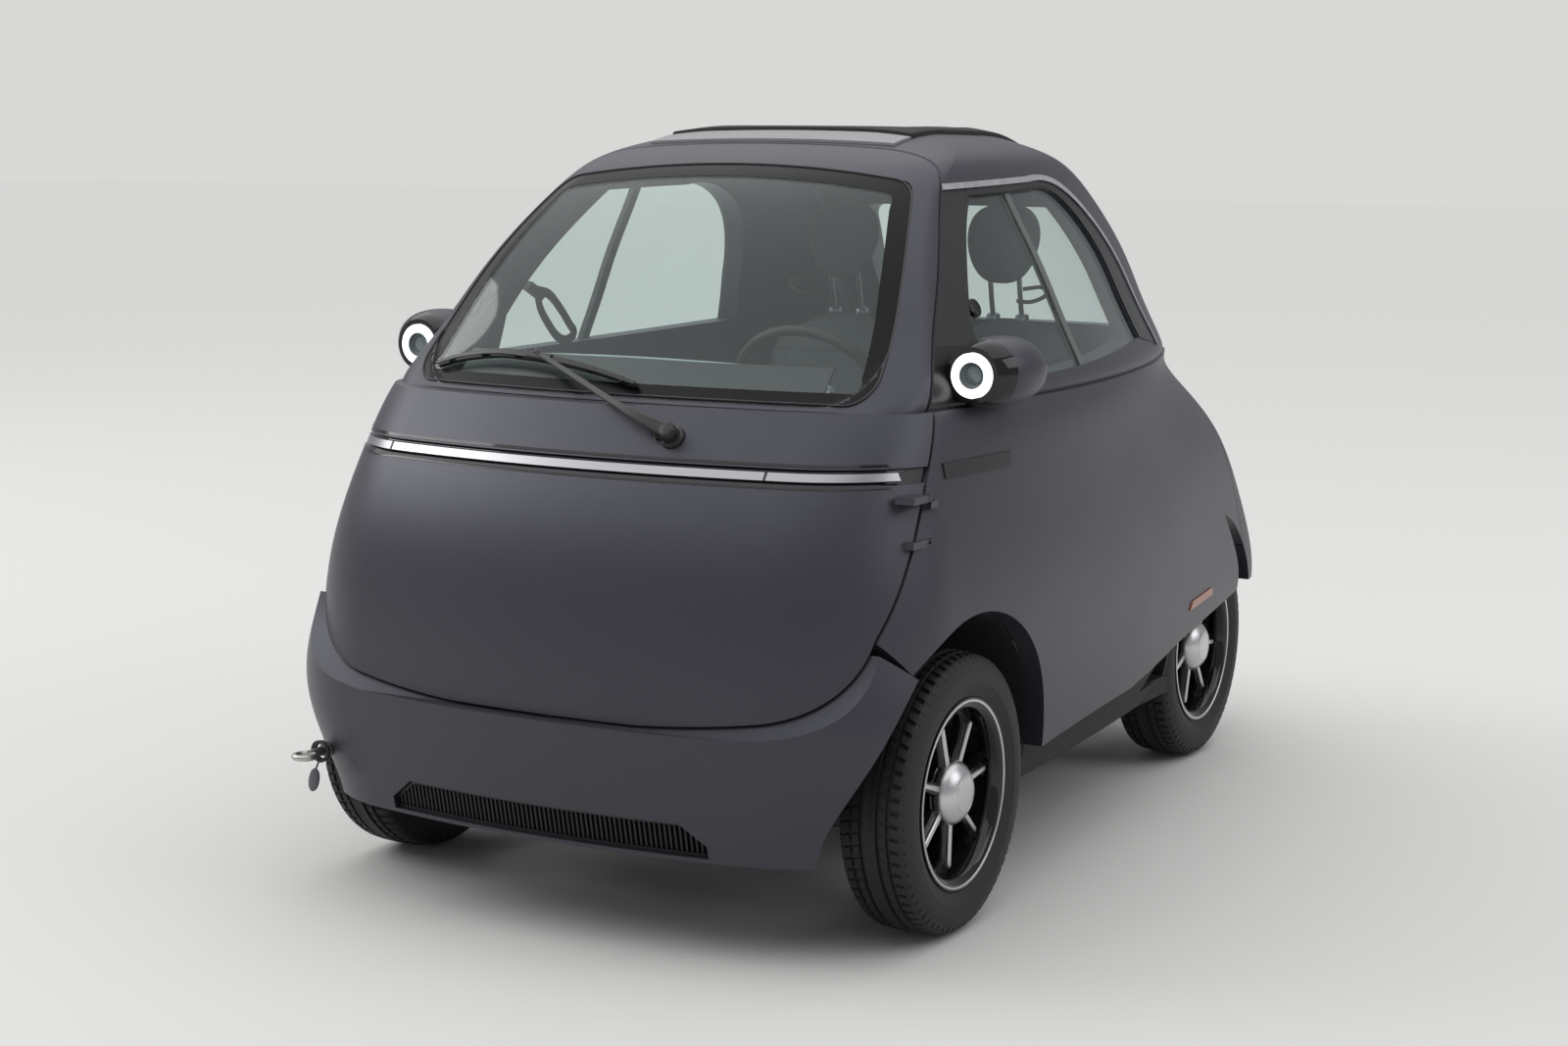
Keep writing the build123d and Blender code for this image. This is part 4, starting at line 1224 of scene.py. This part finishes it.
def press_line(obj, across, half_width, depth, along=None):
    """Press a sewn valley where across(point) is near nought."""
    spots = [(v.co.copy(), v.normal.copy()) for v in obj.data.vertices]
    for v, (at, facing) in zip(obj.data.vertices, spots):
        reach = abs(across(at))
        if reach < half_width * 3 and (along is None or along(at)):
            v.co = at - facing * depth * exp(-(reach / half_width) ** 2)


# %% Stuff the bench: seat and back
SEAT_PROFILE = [
    (-0.196, 0.418), (-0.205, 0.45), (-0.198, 0.492), (-0.172, 0.52), (-0.12, 0.531), (0.04, 0.52),
    (0.18, 0.512), (0.262, 0.516), (0.28, 0.49), (0.28, 0.42), (0.24, 0.408), (-0.15, 0.408),
]
BACK_PROFILE = [
    (0.256, 0.52), (0.3, 0.8), (0.336, 1.03), (0.346, 1.068), (0.362, 1.079), (0.378, 1.07),
    (0.384, 1.04), (0.352, 0.76), (0.32, 0.53), (0.288, 0.512),
]
BENCH_VOXEL, BENCH_MOST = 0.009, 0.022


def closed_profile(profile, count):
    """A closed outline with evenly spaced points."""
    return spaced(profile + profile[:1], count + 1)[:-1]


seat_form = swept_block(closed_profile(SEAT_PROFILE, 60), 0.44)
bench_seat = stuffed("bench_seat", seat_form, BENCH_VOXEL, BENCH_MOST, lambda p: p.z < 0.424)
back_verts, back_faces = swept_block(closed_profile(BACK_PROFILE, 80), 0.425)


def shoulder(p):
    """The back rises behind each seat and dips between and beside them."""
    reach = min(max((p.z - 0.8) / 0.26, 0.0), 1.0)
    hump = 0.052 * exp(-((abs(p.x) - 0.215) / 0.125) ** 2) - 0.032
    return p + Vector((0, 0.15, 1)) * reach * hump


back_form = [shoulder(p) for p in back_verts], back_faces
bench_back = stuffed("bench_back", back_form, BENCH_VOXEL, BENCH_MOST,
                     lambda p: p.y > 0.318 + 0.125 * (p.z - 0.53) / 0.54 and p.z < 1.04)
SEAM = (0.004, 0.006)
for seat in (bench_seat, bench_back):
    press_line(seat, lambda p: p.x, 0.006, 0.016, lambda p: p.z > 0.44)
press_line(bench_seat, lambda p: p.y + 0.12, *SEAM, lambda p: p.z > 0.47)
press_line(bench_seat, lambda p: abs(p.x) - 0.36, *SEAM, lambda p: p.z > 0.47 and p.y > -0.13)
press_line(bench_back, lambda p: abs(p.x) - 0.35, *SEAM, lambda p: 0.55 < p.z < 0.99)
press_line(bench_back, lambda p: p.z - 0.98, *SEAM, lambda p: p.y < 0.36)

# %% Stuff the head restraints and set them on their posts
def squared(value, power):
    """Push a sine or cosine outwards, so that a circle turns a little square."""
    return copysign(abs(value) ** power, value)


def restraint(side):
    """An egg-shaped pad, broadest above its middle."""
    verts = []
    rows, around = 30, 40
    for i in range(rows + 1):
        rise = -cos(pi * i / rows)
        girth = sin(pi * i / rows) ** 0.72
        wide, deep = 0.088 * girth * (1 + 0.13 * rise), 0.03 * girth
        for k in range(around):
            t = 2 * pi * k / around
            verts.append(Vector((
                side * 0.205 + wide * squared(cos(t), 0.8),
                0.334 + 0.12 * (rise * 0.084) + deep * squared(sin(t), 0.8),
                1.246 + 0.09 * rise,
            )))
    return verts, ring_faces(rows + 1, around)


restraint_pads = []
for side, hand in ((1, "left"), (-1, "right")):
    pad = stuffed("restraint_" + hand, restraint(side), 0.005, 0.009, lambda p: p.z < 1.16)
    press_line(pad, lambda p: p.y - 0.34, 0.003, 0.004)
    restraint_pads.append(pad)
posts = []
for x in (-0.243, -0.171, 0.171, 0.243):
    post_line = [(x, 0.365, 1.06), (x, 0.35, 1.12), (x, 0.336, 1.19)]
    posts.append(tube_part(post_line, 0.0058, around=16))
    posts.append(turned_part([(-6, 15.5), (3, 15.5), (7, 12.5), (8.5, 6)],
                             (x, 0.3615, 1.078), (0, -0.15, 1), 24))
piece("restraint_pins", join_parts(*posts), satin_chrome, "body", ["restraint_posts"])
for obj, fill, old in (
    (bench_seat, 0.7, "seat_base"), (bench_back, 0.7, "seat_back"),
    *((pad, 0.8, "head_restraints") for pad in restraint_pads),
):
    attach(obj, "body")
    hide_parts(old)
    print(obj.name, len(obj.data.polygons), "faces")

# %% [markdown]
# ## Roof fabric
# The folding roof is shown shut: one sheet drawn tight over its frame, with a slight hollow between
# the cross bows, a sewn line near each side, and its edges wrapped down round the frame. A cloth
# run could stretch it, but a tight sheet hardly moves: laying it row by row on the frame's own
# surface is exact, quick, and the same each time.

# %% Stretch the roof fabric
roof_tree = tree_of("fabric_roof")
roof_low, roof_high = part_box("fabric_roof")
HALF_ROOF = roof_high[0] - 0.003
ROOF_FRONT, ROOF_BACK = roof_low[1] + 0.003, roof_high[1] - 0.003
BOWS = (0.0, 0.34, 0.68, 1.0)
WRAP = 0.011
SKIN_EDGE = 0.96
roof_length = ROOF_BACK - ROOF_FRONT


def wrapped(low, high, insets, steps):
    """Marks from one edge to the other, each with how far the sheet drops there to wrap the frame."""
    span = high - low - 2 * insets[0]
    marks = [(low + insets[0] + span * i / steps, 0.0) for i in range(steps + 1)]
    for inset, drop in zip(insets[1:], (0.0015, 0.006, WRAP)):
        marks = [(low + inset, drop)] + marks + [(high - inset, drop)]
    return marks


across_marks = wrapped(-1.0, 1.0, (0.015, 0.006, 0.001, 0.0), 44)
along_marks = wrapped(0.0, 1.0, (0.01, 0.004, 0.0006, 0.0), 70)
roof_rows = []
for v, drop_v in along_marks:
    row = []
    for u, drop_u in across_marks:
        x = min(max(u, -SKIN_EDGE), SKIN_EDGE) * HALF_ROOF
        y = ROOF_FRONT + min(max(v, 0.03), 0.97) * roof_length
        point, normal = from_above(roof_tree, x, y)
        gap = min(abs(v - b) for b in BOWS) / 0.17
        hollow = 0.0024 * min(gap, 1.0) ** 2 * (1 - abs(u) ** 4)
        sewn = 0.001 * exp(-((abs(u) - 0.93) / 0.006) ** 2)
        slope = normal.x / max(normal.z, 0.3)
        rise = point.z - slope * (u * HALF_ROOF - x) - max(drop_u, drop_v) - hollow - sewn
        row.append((Vector((u * HALF_ROOF, ROOF_FRONT + v * roof_length, rise)), normal))
    roof_rows.append(row)
roof_sheet = skin_parts(roof_rows, 0.001, 0.0035)
roof_fabric = piece("roof_fabric", roof_sheet, roof_cloth, "body", ["fabric_roof"], 30)
